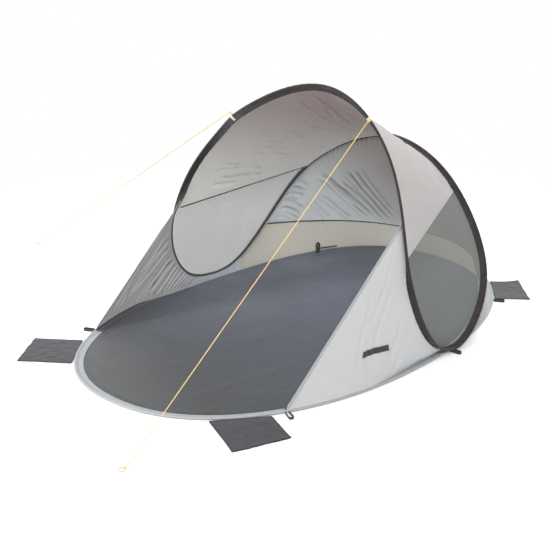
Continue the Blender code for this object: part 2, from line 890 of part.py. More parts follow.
def make_back_wall():
    rulings = rulings_at_seam_ends(back_wall_rulings())
    lower = []
    for top, foot in rulings:
        start = blend(top, foot, seam_share(top, foot))
        lower.append([blend(start, foot, j / 3) for j in range(4)])
    cloth_panel("back_strip", trim_rows(lower), "light_cloth")
    upper = []
    for top, foot in rulings:
        end = blend(top, foot, seam_share(top, foot))
        if above_seam(top) > -GAP:
            upper.append([blend(top, end, j / 5) for j in range(6)])
    for end, beside in ((0, 1), (-1, -2)):
        upper[end] = [blend(a, b, SEAM_END_SHARE) for a, b in zip(upper[end], upper[beside])]
    upper = folded(upper, BACK_FOLDS, FOLD_DEPTH)
    cloth_panel("back_panel", trim_rows(upper), "light_cloth")
    seam = [(row[-1], row[-2]) for row in upper]
    make_rear_tape(seam)


def make_rear_tape(seam):
    """A tape over the inside of the rear seam."""
    frames = []
    for i, (point, above) in enumerate(seam):
        ahead = seam[min(i + 1, len(seam) - 1)][0]
        behind = seam[max(i - 1, 0)][0]
        along = unit(ahead - behind)
        across = above - point
        across = unit(across - along * across.dot(along))
        inside = np.cross(along, across)
        if inside[1] > 0:
            inside = -inside
        frames.append((point + inside * TAPE_STAND_OFF, across, inside))
    profile = box_profile(TAPE_WIDTH, TAPE_THICKNESS)
    solid_tube("seam_tape_rear", frames[2:-2], profile, "tape_cloth", False)


def wall_foot(share):
    """Foot of the left back wall at a share of its way back, and its up, along and inside."""
    place_share = share * REAR_STEPS
    k = int(place_share)
    ends = []
    for near in (k, k + 1):
        foot = base_seam(base_station(-1, GUSSET_BASE + near))
        top = hoop_seam(side_station(-1, GUSSET_STATION + near))
        ends.append((foot, top))
    foot, top = (blend(a, b, place_share - k) for a, b in zip(*ends))
    along = unit(ends[1][0] - ends[0][0])
    up = top - foot
    up = unit(up - along * up.dot(along))
    return foot, up, along, np.cross(along, up)


def make_closing_strap():
    """The strap along the wall's foot, and the ring that stands on the groundsheet at its end."""
    frames = []
    for share in STRAP_SHARES:
        foot, up, along, inside = wall_foot(share)
        frames.append((foot + up * STRAP_HEIGHT + inside * STRAP_STAND_OFF, up, inside))
    profile = box_profile(STRAP_WIDTH, STRAP_THICKNESS)
    solid_tube("closing_strap", frames, profile, "webbing", False)
    foot, up, along, inside = wall_foot(RING_SHARE)
    level = unit(np.array([inside[0], inside[1], 0.0]))
    centre = foot + level * RING_REACH
    centre[2] = SHEET_THICKNESS + GAP + RING_HEIGHT / 2
    tall, wide = (RING_HEIGHT - RING_THICKNESS) / 2, (RING_WIDTH - RING_THICKNESS) / 2
    frames = []
    sides = 16
    for i in range(sides):
        angle = 2 * math.pi * i / sides
        point = centre + along * wide * math.cos(angle) + UP * tall * math.sin(angle)
        out = unit(along * tall * math.cos(angle) + UP * wide * math.sin(angle))
        frames.append((point, out, level))
    solid_tube("closing_ring", frames, polygon(RING_THICKNESS / 2, 8, turn=0.5), "webbing", True)


# Peg loops, sand pockets and guy lines


def make_peg_loop(name, y, side):
    """A strap on edge, bent into a loop for a peg, both ends at the hem."""
    edge, inward = base_between(y, side)
    out = -inward
    along = np.cross(UP, out)
    straight = LOOP_REACH - LOOP_RADIUS
    path = [(2 * GAP, -LOOP_RADIUS), (straight / 2, -LOOP_RADIUS)]
    bends = 6
    for i in range(bends + 1):
        angle = math.pi * i / bends - math.pi / 2
        path.append((straight + LOOP_RADIUS * math.cos(angle), LOOP_RADIUS * math.sin(angle)))
    path += [(straight / 2, LOOP_RADIUS), (2 * GAP, LOOP_RADIUS)]
    middle = UP * (WEB_HEIGHT / 2 + GAP)
    points = [edge + out * a + along * b + middle for a, b in path]
    frames = []
    for i, point in enumerate(points):
        way = unit(points[min(i + 1, len(points) - 1)] - points[max(i - 1, 0)])
        frames.append((point, np.cross(way, UP), UP))
    solid_tube(name, frames, box_profile(WEB_THICKNESS, WEB_HEIGHT), "webbing", False)


def make_peg_loops():
    for side in (1, -1):
        foot_y = base_seam(base_station(side, FOOT_BASE))[1]
        corner_y = PEG_CORNER_SHARE * HALF_LENGTH
        make_peg_loop("peg_loop_front_" + side_name(side), corner_y, side)
        make_peg_loop("peg_loop_side_" + side_name(side), foot_y, side)
        make_peg_loop("peg_loop_back_" + side_name(side), BACK_LOOP_SHARE * HALF_LENGTH, side)


def make_pocket(name, side):
    """Two plies sewn together on three sides, with the mouth at the outer edge."""
    place_share, depth_share, slip_share, slant_share = POCKET_SHARES[name]
    edge, inward = base_between(place_share * HALF_LENGTH, side)
    out = -inward
    along = np.cross(UP, out)
    height = 2 * PLY + POCKET_SPACE
    hinge = edge + out * POCKET_GAP + UP * (height + GAP)
    half = POCKET_WIDTH / 2
    inner_half = half - POCKET_BORDER
    levels = (-height, 0.0)
    spaces = (-height + PLY, -PLY)
    outer = [(o, a, z) for o in (0.0, 1.0) for a in (-half, half) for z in levels]
    inner = []
    for o in (POCKET_BORDER / POCKET_DEPTH, 1.0):
        inner += [(o, a, z) for a in (-inner_half, inner_half) for z in spaces]
    points = []
    for o, a, z in outer + inner:
        reach = POCKET_DEPTH * depth_share * o * (1 + slant_share * a / half)
        points.append(out * reach + along * (a + slip_share * reach) + UP * z)
    faces = [
        (0, 1, 3, 2),
        (0, 2, 6, 4),
        (1, 5, 7, 3),
        (0, 4, 5, 1),
        (2, 3, 7, 6),
        (8, 10, 11, 9),
        (8, 12, 14, 10),
        (9, 11, 15, 13),
        (8, 9, 13, 12),
        (10, 14, 15, 11),
        (4, 6, 14, 12),
        (5, 13, 15, 7),
        (4, 12, 13, 5),
        (6, 7, 15, 14),
    ]
    thing = add_object("sand_pocket_" + name, points, faces, "pocket_cloth")
    thing.location = tuple(hinge)


def make_pockets():
    for side in (1, -1):
        for end in ("front_", "back_"):
            make_pocket(end + side_name(side), side)


def tab_profile():
    """A strap folded round the sleeve with a solid nose outside the wire."""
    clear = SLEEVE_RADIUS + TAB_CLEARANCE
    thin = SEAM_EDGE / 2 + TAB_CLEARANCE
    nose = -clear - TAB_NOSE
    return [
        (TAB_OVERLAP, thin),
        (0, clear),
        (-clear, clear),
        (-clear, -clear),
        (0, -clear),
        (TAB_OVERLAP, -thin),
        (TAB_OVERLAP, -thin - TAB_WALL),
        (0, -clear - TAB_WALL),
        (-clear, -clear - TAB_WALL),
        (nose, -TAB_WALL),
        (nose, TAB_WALL),
        (-clear, clear + TAB_WALL),
        (0, clear + TAB_WALL),
        (TAB_OVERLAP, thin + TAB_WALL),
    ]


def ball(name, centre, radius, kind):
    mesh = bpy.data.meshes.new(name)
    work = bmesh.new()
    bmesh.ops.create_uvsphere(work, u_segments=8, v_segments=6, radius=radius)
    work.to_mesh(mesh)
    work.free()
    mesh.shade_smooth()
    mesh.materials.append(material(kind))
    thing = bpy.data.objects.new(name, mesh)
    thing.location = tuple(centre)
    bpy.context.scene.collection.objects.link(thing)
    return thing


def make_rope(name, start, end):
    curve = bpy.data.curves.new(name, "CURVE")
    curve.dimensions = "3D"
    curve.bevel_depth = ROPE_DIAMETER / 2
    curve.bevel_resolution = 2
    curve.use_fill_caps = True
    spline = curve.splines.new("POLY")
    spline.points.add(ROPE_POINTS - 1)
    for i in range(ROPE_POINTS):
        point = blend(start, end, i / (ROPE_POINTS - 1))
        spline.points[i].co = (*point, 1.0)
    curve.materials.append(material("guy_rope"))
    thing = bpy.data.objects.new(name, curve)
    bpy.context.scene.collection.objects.link(thing)
    return thing


def make_eye(name, centre):
    """The tied eye at the rope's end, flat on the ground."""
    frames = []
    sides = 16
    for i in range(sides):
        angle = 2 * math.pi * i / sides
        out = np.array([math.cos(angle), math.sin(angle), 0.0])
        frames.append((centre + out * EYE_RADIUS, out, UP))
    profile = polygon(ROPE_DIAMETER / 2, 8, turn=0.5)
    solid_tube(name, frames, profile, "guy_rope", True)


def make_guy(side, share, end_xy):
    name = side_name(side)
    place_share = share if side > 0 else 1.0 - share
    centre, inward, through = hoop_between(place_share)
    along = np.cross(inward, through)
    half = TAB_LENGTH / 2
    frames = []
    for shift in (-half, half):
        frames.append((centre + along * shift, inward, through))
    solid_tube("guy_tab_" + name, frames, tab_profile(), "tab_webbing", False)
    nose = centre - inward * (SLEEVE_RADIUS + TAB_CLEARANCE + TAB_NOSE + GAP)
    knot = nose - inward * KNOT_RADIUS
    ball("guy_knot_" + name, knot, KNOT_RADIUS, "guy_rope")
    radius = ROPE_DIAMETER / 2
    eye = np.array([end_xy[0], end_xy[1], radius])
    way = unit(eye - knot)
    level = unit(np.array([way[0], way[1], 0.0]))
    foot = eye - level * (EYE_RADIUS + radius * (1 - way[2]) + GAP)
    way = unit(foot - knot)
    make_rope("guy_rope_" + name, knot + way * (KNOT_RADIUS + GAP), foot)
    make_eye("guy_eye_" + name, eye)


def build():
    clear_scene()
    make_wires()
    make_crimps()
    make_sleeves()
    make_hem()
    make_groundsheet()
    make_roof()
    for side in (1, -1):
        make_side_mesh(side)
        make_wing(side)
        make_gusset(side)
    make_back_wall()
    make_closing_strap()
    make_peg_loops()
    make_pockets()
    make_guy(1, RIGHT_SHARES["guy"], RIGHT_GUY_END)
    make_guy(-1, LEFT_SHARES["guy"], LEFT_GUY_END)


build()
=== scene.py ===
import math

import bmesh
import bpy
import numpy as np
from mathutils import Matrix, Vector


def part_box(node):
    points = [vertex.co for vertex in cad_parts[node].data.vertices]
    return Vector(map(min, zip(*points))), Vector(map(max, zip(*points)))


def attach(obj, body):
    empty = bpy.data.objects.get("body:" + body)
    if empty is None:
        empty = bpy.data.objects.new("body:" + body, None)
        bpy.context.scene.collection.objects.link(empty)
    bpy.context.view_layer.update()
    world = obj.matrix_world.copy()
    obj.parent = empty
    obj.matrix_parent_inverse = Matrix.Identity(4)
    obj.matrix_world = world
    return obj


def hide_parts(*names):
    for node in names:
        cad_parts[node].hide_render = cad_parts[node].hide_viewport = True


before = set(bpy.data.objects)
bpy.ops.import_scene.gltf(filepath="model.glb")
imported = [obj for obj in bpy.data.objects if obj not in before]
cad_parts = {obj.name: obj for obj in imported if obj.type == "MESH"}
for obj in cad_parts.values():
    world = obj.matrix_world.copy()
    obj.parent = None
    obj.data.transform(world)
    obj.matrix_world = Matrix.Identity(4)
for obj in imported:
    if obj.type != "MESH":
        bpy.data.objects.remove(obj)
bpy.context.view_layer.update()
up = np.array([0.0, 0.0, 1.0])
print("frame loaded,", len(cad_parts), "pieces")

# the camera stands where the photograph was taken from
view = {
    "azimuth": 42.86, "elevation": 19.99, "distance": 3.481,
    "target": (0.252, -0.4435, 0.35),
    "focalPixels": 1047.0, "framePixels": 552, "sensorWidth": 36.0,
}


def makeCamera():
    data = bpy.data.cameras.new("photoCamera")
    data.sensor_width = view["sensorWidth"]
    data.lens = view["focalPixels"] / view["framePixels"] * view["sensorWidth"]
    camera = bpy.data.objects.new("photoCamera", data)
    bpy.context.scene.collection.objects.link(camera)
    azimuth, elevation = math.radians(view["azimuth"]), math.radians(view["elevation"])
    level = math.cos(elevation)
    away = Vector((math.sin(azimuth) * level, -math.cos(azimuth) * level, math.sin(elevation)))
    camera.location = Vector(view["target"]) + away * view["distance"]
    camera.rotation_euler = (-away).to_track_quat("-Z", "Y").to_euler()
    bpy.context.scene.camera = camera


makeCamera()
print("camera placed")

# the tent's own sizes, as in the frame
tent = {
    "halfWidth": 0.60, "halfLength": 0.98, "hoopHeight": 0.95,
    "widestShare": 0.46, "frontSquareness": 2.19, "backSquareness": 2.37, "backSway": 0.15,
    "sleeveRadius": 0.0046, "sleeveWidth": 0.021, "gap": 0.0003,
    "rearSeamHeight": 0.238, "rearSeamFall": 0.114,
}
tent["footHeight"] = 3 * tent["sleeveRadius"] + tent["gap"]

sideNames = {1: "right", -1: "left"}

# across, along and up, from the front apex down the right leg, over the back, up the left leg
hoopRoute = np.array([
    (-0.035, -0.290, 0.908), (0.445, -0.215, 1.000), (0.805, -0.145, 0.756), (0.925, -0.125, 0.396),
    (0.990, -0.045, 0.117), (1.010, 0.075, 0.006), (1.025, 0.205, 0.038), (0.955, 0.355, 0.242),
    (0.660, 0.435, 0.500), (0.320, 0.470, 0.640), (-0.020, 0.490, 0.673), (-0.345, 0.485, 0.611),
    (-0.665, 0.430, 0.457), (-0.865, 0.325, 0.211), (-0.965, 0.190, 0.035), (-1.003, 0.040, 0.004),
    (-0.990, -0.100, 0.070), (-0.930, -0.190, 0.277), (-0.720, -0.200, 0.562), (-0.390, -0.220, 0.775),
])
# stations count down each side of the hoop: the roof's front 0 to 10, the wing 9 to 19, the window
# 10 to 19 and back to 28, the gusset 19 to 23, the back wall 23 to 38 and the roof's back 38 to 28
# on the floor the wing has 10 to 20, the gusset 20 to 24 and the back wall 24 to 39
stops = {
    "hoopStations": (0, 9, 10, 19, 23, 28, 38),
    "right": (0.0, 0.130, 0.150, 0.265, 0.310, 0.404, 0.5),
    "left": (0.0, 0.122, 0.128, 0.247, 0.308, 0.408, 0.5),
    "floorStations": (0, 10, 20, 24, 39),
    "pegCorner": -0.66, "backLoop": 0.655, "rightGuy": 0.078, "leftGuy": 0.023,
}
# the flat of the sleeve leans back up the front legs and turns forward below the side seams
lean = {"places": (0.050, 0.095), "turn": {1: 0.158, -1: 0.120}, "ease": 0.020,
        "apex": -0.2, "leg": -1.0, "window": 0.8, "back": 0.6}


def unit(vectors):
    return vectors / np.maximum(np.linalg.norm(vectors, axis=-1, keepdims=True), 1e-12)


def mix(a, b, share):
    return a + (b - a) * share


def smooth(value, low, high):
    t = np.clip((value - low) / (high - low), 0.0, 1.0)
    return t * t * (3 - 2 * t)


def squareTo(vectors, along):
    # the share of each vector that stands square to the line, at length 1
    return unit(vectors - along * np.sum(vectors * along, -1, keepdims=True))


def runOf(line):
    # distance travelled along a line of points
    return np.concatenate([[0.0], np.cumsum(np.linalg.norm(np.diff(line, axis=0), axis=1))])


def sampled(at, run, line):
    return np.stack([np.interp(at, run, line[:, k]) for k in range(line.shape[1])], 1)


def ringSlopes(knots):
    count = len(knots)
    system = 4 * np.eye(count) + np.roll(np.eye(count), 1, 1) + np.roll(np.eye(count), -1, 1)
    return np.linalg.solve(system, 3 * (np.roll(knots, -1, 0) - np.roll(knots, 1, 0)))


hoopScale = np.array([tent["halfWidth"], tent["halfLength"], tent["hoopHeight"] - tent["footHeight"]])
hoopKnots = hoopRoute * hoopScale + up * tent["footHeight"]
hoopSlopes = ringSlopes(hoopKnots)


def leanAt(shares):
    place = np.minimum(shares % 1.0, 1.0 - shares % 1.0)
    found = {}
    for side in (1, -1):
        low, high = lean["turn"][side] - lean["ease"], lean["turn"][side] + lean["ease"]
        found[side] = lean["apex"] + (lean["leg"] - lean["apex"]) * smooth(place, *lean["places"])
        found[side] += (lean["window"] - lean["leg"]) * smooth(place, low, high)
        found[side] += (lean["back"] - lean["window"]) * smooth(place, high, 0.5)
    return np.where(shares % 1.0 < 0.5, found[1], found[-1])


def hoopFrames(shares):
    # wire centre, direction into the cloth, through the sleeve, and along the hoop
    shares = np.atleast_1d(np.asarray(shares, float))
    count = len(hoopKnots)
    place = (shares % 1.0) * count
    first = np.floor(place).astype(int) % count
    then = (first + 1) % count
    t = (place - np.floor(place))[:, None]
    a = hoopKnots[then] - hoopKnots[first] - hoopSlopes[first]
    b = hoopSlopes[then] - hoopSlopes[first]
    centre = hoopKnots[first] + t * hoopSlopes[first] + t * t * (3 * a - b) + t**3 * (b - 2 * a)
    along = unit(hoopSlopes[first] + 2 * t * (3 * a - b) + 3 * t * t * (b - 2 * a))
    high = centre[:, 2] / tent["hoopHeight"] - 0.37
    out = np.stack([centre[:, 0] / tent["halfWidth"], leanAt(shares), high], 1)
    out = squareTo(out, along)
    return centre, -out, np.cross(along, -out), along


def legShares(side, stations):
    found = np.interp(stations, stops["hoopStations"], stops[sideNames[side]])
    return found if side > 0 else 1.0 - found


def hoopSeam(side, stations, reach):
    # points a given reach in from the wire, at stations counted down one side from the front apex
    centre, inward, _, _ = hoopFrames(legShares(side, stations))
    return centre + inward * reach


def outlineXy(angles, side):
    angles = np.atleast_1d(np.asarray(angles, float))
    front = angles < 0
    power = np.where(front, tent["frontSquareness"], tent["backSquareness"])
    length = 2 * tent["halfLength"]
    reach = length * np.where(front, tent["widestShare"], 1 - tent["widestShare"])
    c = np.maximum(np.cos(np.radians(angles)), 0.0)
    s = np.sin(np.radians(angles))
    share = np.sign(s) * np.abs(s) ** (2 / power)
    sway = np.where(front, 0.0, tent["backSway"] * share**2)
    x = tent["halfWidth"] * (side * c ** (2 / power) - sway)
    y = length * tent["widestShare"] - tent["halfLength"] + reach * share
    return np.stack([x, y, np.zeros_like(x)], 1)


def outlineAngle(y):
    length = 2 * tent["halfLength"]
    widest = length * tent["widestShare"] - tent["halfLength"]
    front = y < widest
    power = tent["frontSquareness"] if front else tent["backSquareness"]
    reach = length * (tent["widestShare"] if front else 1 - tent["widestShare"])
    share = min(1.0, abs(y - widest) / reach)
    return math.copysign(math.degrees(math.asin(share ** (power / 2))), y - widest)


def outlineFrames(angles, side):
    # outer edge of the floor and the direction in from it
    angles = np.clip(np.atleast_1d(np.asarray(angles, float)), -90.0, 90.0)
    step = 0.2
    ahead = outlineXy(np.minimum(angles + step, 90.0), side)
    behind = outlineXy(np.maximum(angles - step, -90.0), side)
    along = unit(ahead - behind) * side
    inward = np.stack([-along[:, 1], along[:, 0], np.zeros(len(along))], 1)
    return outlineXy(angles, side), inward


def floorAngles(side, stations):
    reach = tent["sleeveWidth"] + 0.0015
    footY, gussetY = hoopSeam(side, np.array([19.0, 23.0]), reach)[:, 1]
    angles = (-90.0, outlineAngle(stops["pegCorner"] * tent["halfLength"]), outlineAngle(footY),
              outlineAngle(gussetY), 90.0)
    return np.interp(stations, stops["floorStations"], angles)


def floorSeam(side, stations, reach, level):
    edge, inward = outlineFrames(floorAngles(side, stations), side)
    return edge + inward * reach + up * level


def floorRing(count):
    # even steps round the whole floor, from the front tip by the right side
    fine = np.linspace(-90.0, 90.0, 1501)
    right, rightIn = outlineFrames(fine, 1)
    left, leftIn = outlineFrames(fine, -1)
    edge = np.concatenate([right, left[::-1][1:-1]])
    inward = np.concatenate([rightIn, leftIn[::-1][1:-1]])
    closed = np.concatenate([edge, edge[:1]])
    run = runOf(closed)
    at = np.linspace(0.0, run[-1], count, endpoint=False)
    picked = sampled(at, run, np.concatenate([closed, np.concatenate([inward, inward[:1]])], 1))
    return picked[:, :3], unit(picked[:, 3:]), at


# meshes: every part is a dictionary of points, faces, slot numbers and uv in metres


def gridFaces(rows, columns, wrapRows=False, wrapColumns=False):
    i = np.arange(rows if wrapRows else rows - 1)
    j = np.arange(columns if wrapColumns else columns - 1)
    i, j = [a.ravel() for a in np.meshgrid(i, j, indexing="ij")]
    m, n = (i + 1) % rows, (j + 1) % columns
    return np.stack([i * columns + j, m * columns + j, m * columns + n, i * columns + n], 1)


def gridNormals(grid):
    return unit(np.cross(np.gradient(grid, axis=0), np.gradient(grid, axis=1)))


def report(name, grid):
    a, b = np.diff(grid[:, :-1], axis=0), np.diff(grid[:-1], axis=1)
    area = np.linalg.norm(np.cross(a, b), axis=2).sum()
    down, over = gridLengths(grid)
    print(name, "is", round(down[-1].max(), 3), "by", round(over[:, -1].max(), 3), "m,", round(area, 4), "m2")


def gridLengths(grid):
    # distances across the rows and down the columns, for weave and folds
    down = np.linalg.norm(np.diff(grid, axis=0), axis=2)
    over = np.linalg.norm(np.diff(grid, axis=1), axis=2)
    down = np.concatenate([np.zeros((1, grid.shape[1])), np.cumsum(down, 0)])
    over = np.concatenate([np.zeros((grid.shape[0], 1)), np.cumsum(over, 1)], 1)
    return down, over


def outwardSign(grid, normals):
    away = grid - np.array([0.0, 0.0, 0.30])
    return 1.0 if np.sum(normals * away) > 0 else -1.0


def sheetPart(grid):
    down, over = gridLengths(grid)
    return {"points": grid.reshape(-1, 3), "faces": gridFaces(*grid.shape[:2]), "slot": 0,
            "uv": np.stack([down.ravel(), over.ravel()], 1)}


def shellPart(grid, thickness, outer=0, inner=1):
    # a closed sheet: outer face, inner face and a rim
    rows, columns = grid.shape[:2]
    normals = gridNormals(grid)
    sign = outwardSign(grid, normals)
    lift = normals * (sign * thickness / 2)
    points = np.concatenate([(grid + lift).reshape(-1, 3), (grid - lift).reshape(-1, 3)])
    count = rows * columns
    top = gridFaces(rows, columns)
    if sign < 0:
        top = top[:, ::-1]
    index = np.arange(count).reshape(rows, columns)
    ring = np.concatenate([index[:-1, 0], index[-1, :-1], index[:0:-1, -1], index[0, :0:-1]])
    after = np.roll(ring, -1)
    if sign < 0:
        ring, after = after, ring
    rim = np.stack([after, ring, ring + count, after + count], 1)
    faces = np.concatenate([top, top[:, ::-1] + count, rim])
    slots = np.concatenate([np.full(len(top), outer), np.full(len(top), inner), np.full(len(rim), outer)])
    down, over = gridLengths(grid)
    uv = np.stack([down.ravel(), over.ravel()], 1)
    return {"points": points, "faces": faces, "slot": slots, "uv": np.concatenate([uv, uv])}


def repeated(flat, count):
    # one outline for every station, to be changed station by station
    return np.broadcast_to(flat, (count, *flat.shape)).copy()


def sweepPart(centre, across, through, profile, wrap=False, slot=0):
    # profile: stations by points, each in across and through
    across, through = [np.broadcast_to(way, centre.shape)[:, None] for way in (across, through)]
    points = centre[:, None] + across * profile[..., :1] + through * profile[..., 1:]
    rows, columns = points.shape[:2]
    faces = gridFaces(rows, columns, wrap, True)
    girth = np.linalg.norm(profile[0] - np.roll(profile[0], 1, 0), axis=1).cumsum()
    uv = np.stack([np.repeat(runOf(centre), columns), np.tile(girth, rows)], 1)
    made = {"points": points.reshape(-1, 3), "faces": faces, "slot": slot, "uv": uv}
    if wrap:
        return [made]
    caps = []
    for row in (0, rows - 1):
        ring = points[row]
        middle = ring.mean(0, keepdims=True)
        a = np.arange(columns)
        fan = np.stack([a, (a + 1) % columns, np.full(columns, columns)], 1)
        caps.append({"points": np.concatenate([ring, middle]), "faces": fan, "slot": slot,
                     "uv": np.zeros((columns + 1, 2))})
    return [made] + caps


def stitchPart(line, normals, look, slot=0, closed=False):
    # a row of small raised stitches along a line
    normals = np.broadcast_to(normals, line.shape)
    if closed:
        line = np.concatenate([line, line[:1]])
        normals = np.concatenate([normals, normals[:1]])
    run = runOf(line)
    at = np.arange(look["pitch"] / 2, run[-1], look["pitch"])
    middle = sampled(at, run, line)
    normal = unit(sampled(at, run, normals))
    along = unit(sampled(at + 0.001, run, line) - sampled(at - 0.001, run, line))
    side = unit(np.cross(along, normal))
    half, wide, high = look["length"] / 2, look["width"] / 2, look["width"] * 0.45
    corners = np.stack([
        middle - along * half, middle + side * wide, middle + along * half,
        middle - side * wide, middle + normal * high, middle - normal * high], 1)
    shape = np.array([(0, 1, 4), (1, 2, 4), (2, 3, 4), (3, 0, 4), (1, 0, 5), (2, 1, 5), (3, 2, 5), (0, 3, 5)])
    faces = (shape[None] + 6 * np.arange(len(at))[:, None, None]).reshape(-1, 3)
    points = corners.reshape(-1, 3)
    return {"points": points, "faces": faces, "slot": slot, "uv": points[:, :2]}


def makePiece(name, parts, materials, body="tent", closed=True, sharp=40.0):
    points = np.concatenate([part["points"] for part in parts])
    uv = np.concatenate([part["uv"] for part in parts])
    faces, slots, shift = [], [], 0
    for part in parts:
        faces += (part["faces"] + shift).tolist()
        slots.append(np.broadcast_to(part["slot"], len(part["faces"])))
        shift += len(part["points"])
    mesh = bpy.data.meshes.new(name)
    mesh.from_pydata(points.tolist(), [], faces)
    mesh.polygons.foreach_set("material_index", np.concatenate(slots).astype(np.int32))
    corner = np.empty(len(mesh.loops), np.int32)
    mesh.loops.foreach_get("vertex_index", corner)
    layer = mesh.uv_layers.new(name="weave")
    layer.data.foreach_set("uv", uv[corner].astype(np.float32).ravel())
    for material in materials:
        mesh.materials.append(material)
    if closed:
        work = bmesh.new()
        work.from_mesh(mesh)
        bmesh.ops.remove_doubles(work, verts=work.verts, dist=1e-7)
        bmesh.ops.recalc_face_normals(work, faces=work.faces)
        work.to_mesh(mesh)
        work.free()
    mesh.shade_smooth()
    mesh.set_sharp_from_angle(angle=math.radians(sharp))
    piece = bpy.data.objects.new(name, mesh)
    bpy.context.scene.collection.objects.link(piece)
    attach(piece, body)
    return piece


# materials: each is a weave, a drift of colour and soft creases


def setInputs(made, **values):
    for key, value in values.items():
        made.inputs[key.replace("_", " ")].default_value = value


def feed(tree, made, **sources):
    for key, source in sources.items():
        tree.links.new(source, made.inputs[key.replace("_", " ")])


def node(tree, kind, settings=None, **values):
    made = tree.nodes.new(kind)
    for key, value in (settings or {}).items():
        setattr(made, key, value)
    setInputs(made, **values)
    return made


def math2(tree, operation, a, b):
    made = node(tree, "ShaderNodeMath", {"operation": operation})
    for socket, value in zip(made.inputs, (a, b)):
        if isinstance(value, (int, float)):
            socket.default_value = value
        else:
            tree.links.new(value, socket)
    return made.outputs[0]


def mapRange(tree, value, low, high, toLow, toHigh, kind="LINEAR"):
    made = node(tree, "ShaderNodeMapRange", {"interpolation_type": kind})
    for socket, number in zip(made.inputs[1:5], (low, high, toLow, toHigh)):
        socket.default_value = number
    tree.links.new(value, made.inputs[0])
    return made.outputs[0]


def srgb(red, green, blue):
    def linear(value):
        value /= 255
        return value / 12.92 if value <= 0.04045 else ((value + 0.055) / 1.055) ** 2.4
    return (linear(red), linear(green), linear(blue), 1.0)


def mixColours(tree, share, first, second):
    made = node(tree, "ShaderNodeMix", {"data_type": "RGBA"})
    tree.links.new(share, made.inputs["Factor"])
    for socket, colour in ((made.inputs[6], first), (made.inputs[7], second)):
        if isinstance(colour, tuple):
            socket.default_value = colour
        else:
            tree.links.new(colour, socket)
    return made.outputs[2]


def bump(tree, height, strength, distance, normal=None):
    made = node(tree, "ShaderNodeBump", Strength=strength, Distance=distance)
    tree.links.new(height, made.inputs["Height"])
    if normal:
        tree.links.new(normal, made.inputs["Normal"])
    return made.outputs["Normal"]


def weaveWaves(tree, pitchX, pitchY, turn=0.0):
    # warp and weft as cosines of the uv, which is in metres
    uv = node(tree, "ShaderNodeUVMap", {"uv_map": "weave"})
    turned = node(tree, "ShaderNodeMapping")
    turned.inputs["Rotation"].default_value = (0.0, 0.0, turn)
    tree.links.new(uv.outputs["UV"], turned.inputs["Vector"])
    split = node(tree, "ShaderNodeSeparateXYZ")
    tree.links.new(turned.outputs["Vector"], split.inputs["Vector"])
    waves = []
    for output, pitch in ((split.outputs["X"], pitchX), (split.outputs["Y"], pitchY)):
        waves.append(math2(tree, "COSINE", math2(tree, "MULTIPLY", output, 2 * math.pi / pitch), 0.0))
    return waves


def noise(tree, **values):
    made = node(tree, "ShaderNodeTexNoise", **values)
    tree.links.new(node(tree, "ShaderNodeTexCoord").outputs["Object"], made.inputs["Vector"])
    return made.outputs["Fac"]


def mixShaders(tree, share, first, second):
    made = node(tree, "ShaderNodeMixShader")
    if isinstance(share, float):
        made.inputs[0].default_value = share
    else:
        tree.links.new(share, made.inputs[0])
    tree.links.new(first.outputs[0], made.inputs[1])
    tree.links.new(second.outputs[0], made.inputs[2])
    return made


def newMaterial(name):
    made = bpy.data.materials.new(name)
    made.use_nodes = True
    return made, made.node_tree, made.node_tree.nodes["Principled BSDF"]


def clothMaterial(name, look):
    made, tree, shader = newMaterial(name)
    drift = noise(tree, Scale=look.get("driftScale", 5.0), Detail=3.0, Roughness=0.55)
    colour = srgb(*look["colour"])
    if "farColour" in look:
        # painted light and shade: the colour shifts slowly from one side of the tent to the other, where the
        # light on the cloth falls off or gathers
        span = node(tree, "ShaderNodeVectorMath", {"operation": "DOT_PRODUCT"})
        tree.links.new(node(tree, "ShaderNodeTexCoord").outputs["Object"], span.inputs[0])
        span.inputs[1].default_value = look["toward"]
        share = mapRange(tree, span.outputs["Value"], *look["between"], 0.0, 1.0, "SMOOTHSTEP")
        colour = mixColours(tree, share, colour, srgb(*look["farColour"]))
    # colour that differs at random over the cloth
    tint = mapRange(tree, drift, 0.3, 0.7, 0.0, look.get("drift", 0.5))
    colour = mixColours(tree, tint, colour, srgb(*look["driftColour"]))
    warp, weft = weaveWaves(tree, look["pitch"], look["pitch"] * look.get("stretch", 1.0))
    threads = math2(tree, "MULTIPLY", warp, weft)
    thread = mapRange(tree, threads, -1.0, 1.0, 0.0, look.get("fleck", 0.12))
    colour = mixColours(tree, thread, colour, srgb(*look.get("fleckColour", look["driftColour"])))
    if "foldShade" in look:
        # painted shade darkens the valleys of the folds and a painted highlight lightens their ridges, found
        # from how sharply the surface bends
        bend = node(tree, "ShaderNodeNewGeometry").outputs["Pointiness"]
        valley = mapRange(tree, bend, *paintedFoldTones["valley"], look["foldShade"], 0.0)
        ridge = mapRange(tree, bend, *paintedFoldTones["ridge"], 0.0, look["foldShade"] * 0.5)
        colour = mixColours(tree, valley, colour, srgb(*paintedFoldTones["dark"]))
        colour = mixColours(tree, ridge, colour, srgb(*paintedFoldTones["light"]))
    rough = mapRange(tree, drift, 0.3, 0.7, look["rough"] - 0.06, look["rough"] + 0.06)
    setInputs(shader, Specular_IOR_Level=look.get("shine", 0.35), Sheen_Weight=0.15, Sheen_Roughness=0.5)
    normal = bump(tree, threads, look.get("weaveBump", 0.25), look["pitch"] * 0.2)
    crease = noise(tree, Scale=look.get("creaseScale", 22.0), Detail=4.0, Distortion=0.6)
    normal = bump(tree, crease, look.get("creaseBump", 0.25), 0.004, normal)
    feed(tree, shader, Base_Color=colour, Roughness=rough, Normal=normal)
    if "through" in look:
        glow = node(tree, "ShaderNodeBsdfTranslucent")
        feed(tree, glow, Color=colour, Normal=normal)
        blended = mixShaders(tree, look["through"], shader, glow)
        feed(tree, tree.nodes["Material Output"], Surface=blended.outputs[0])
    return made


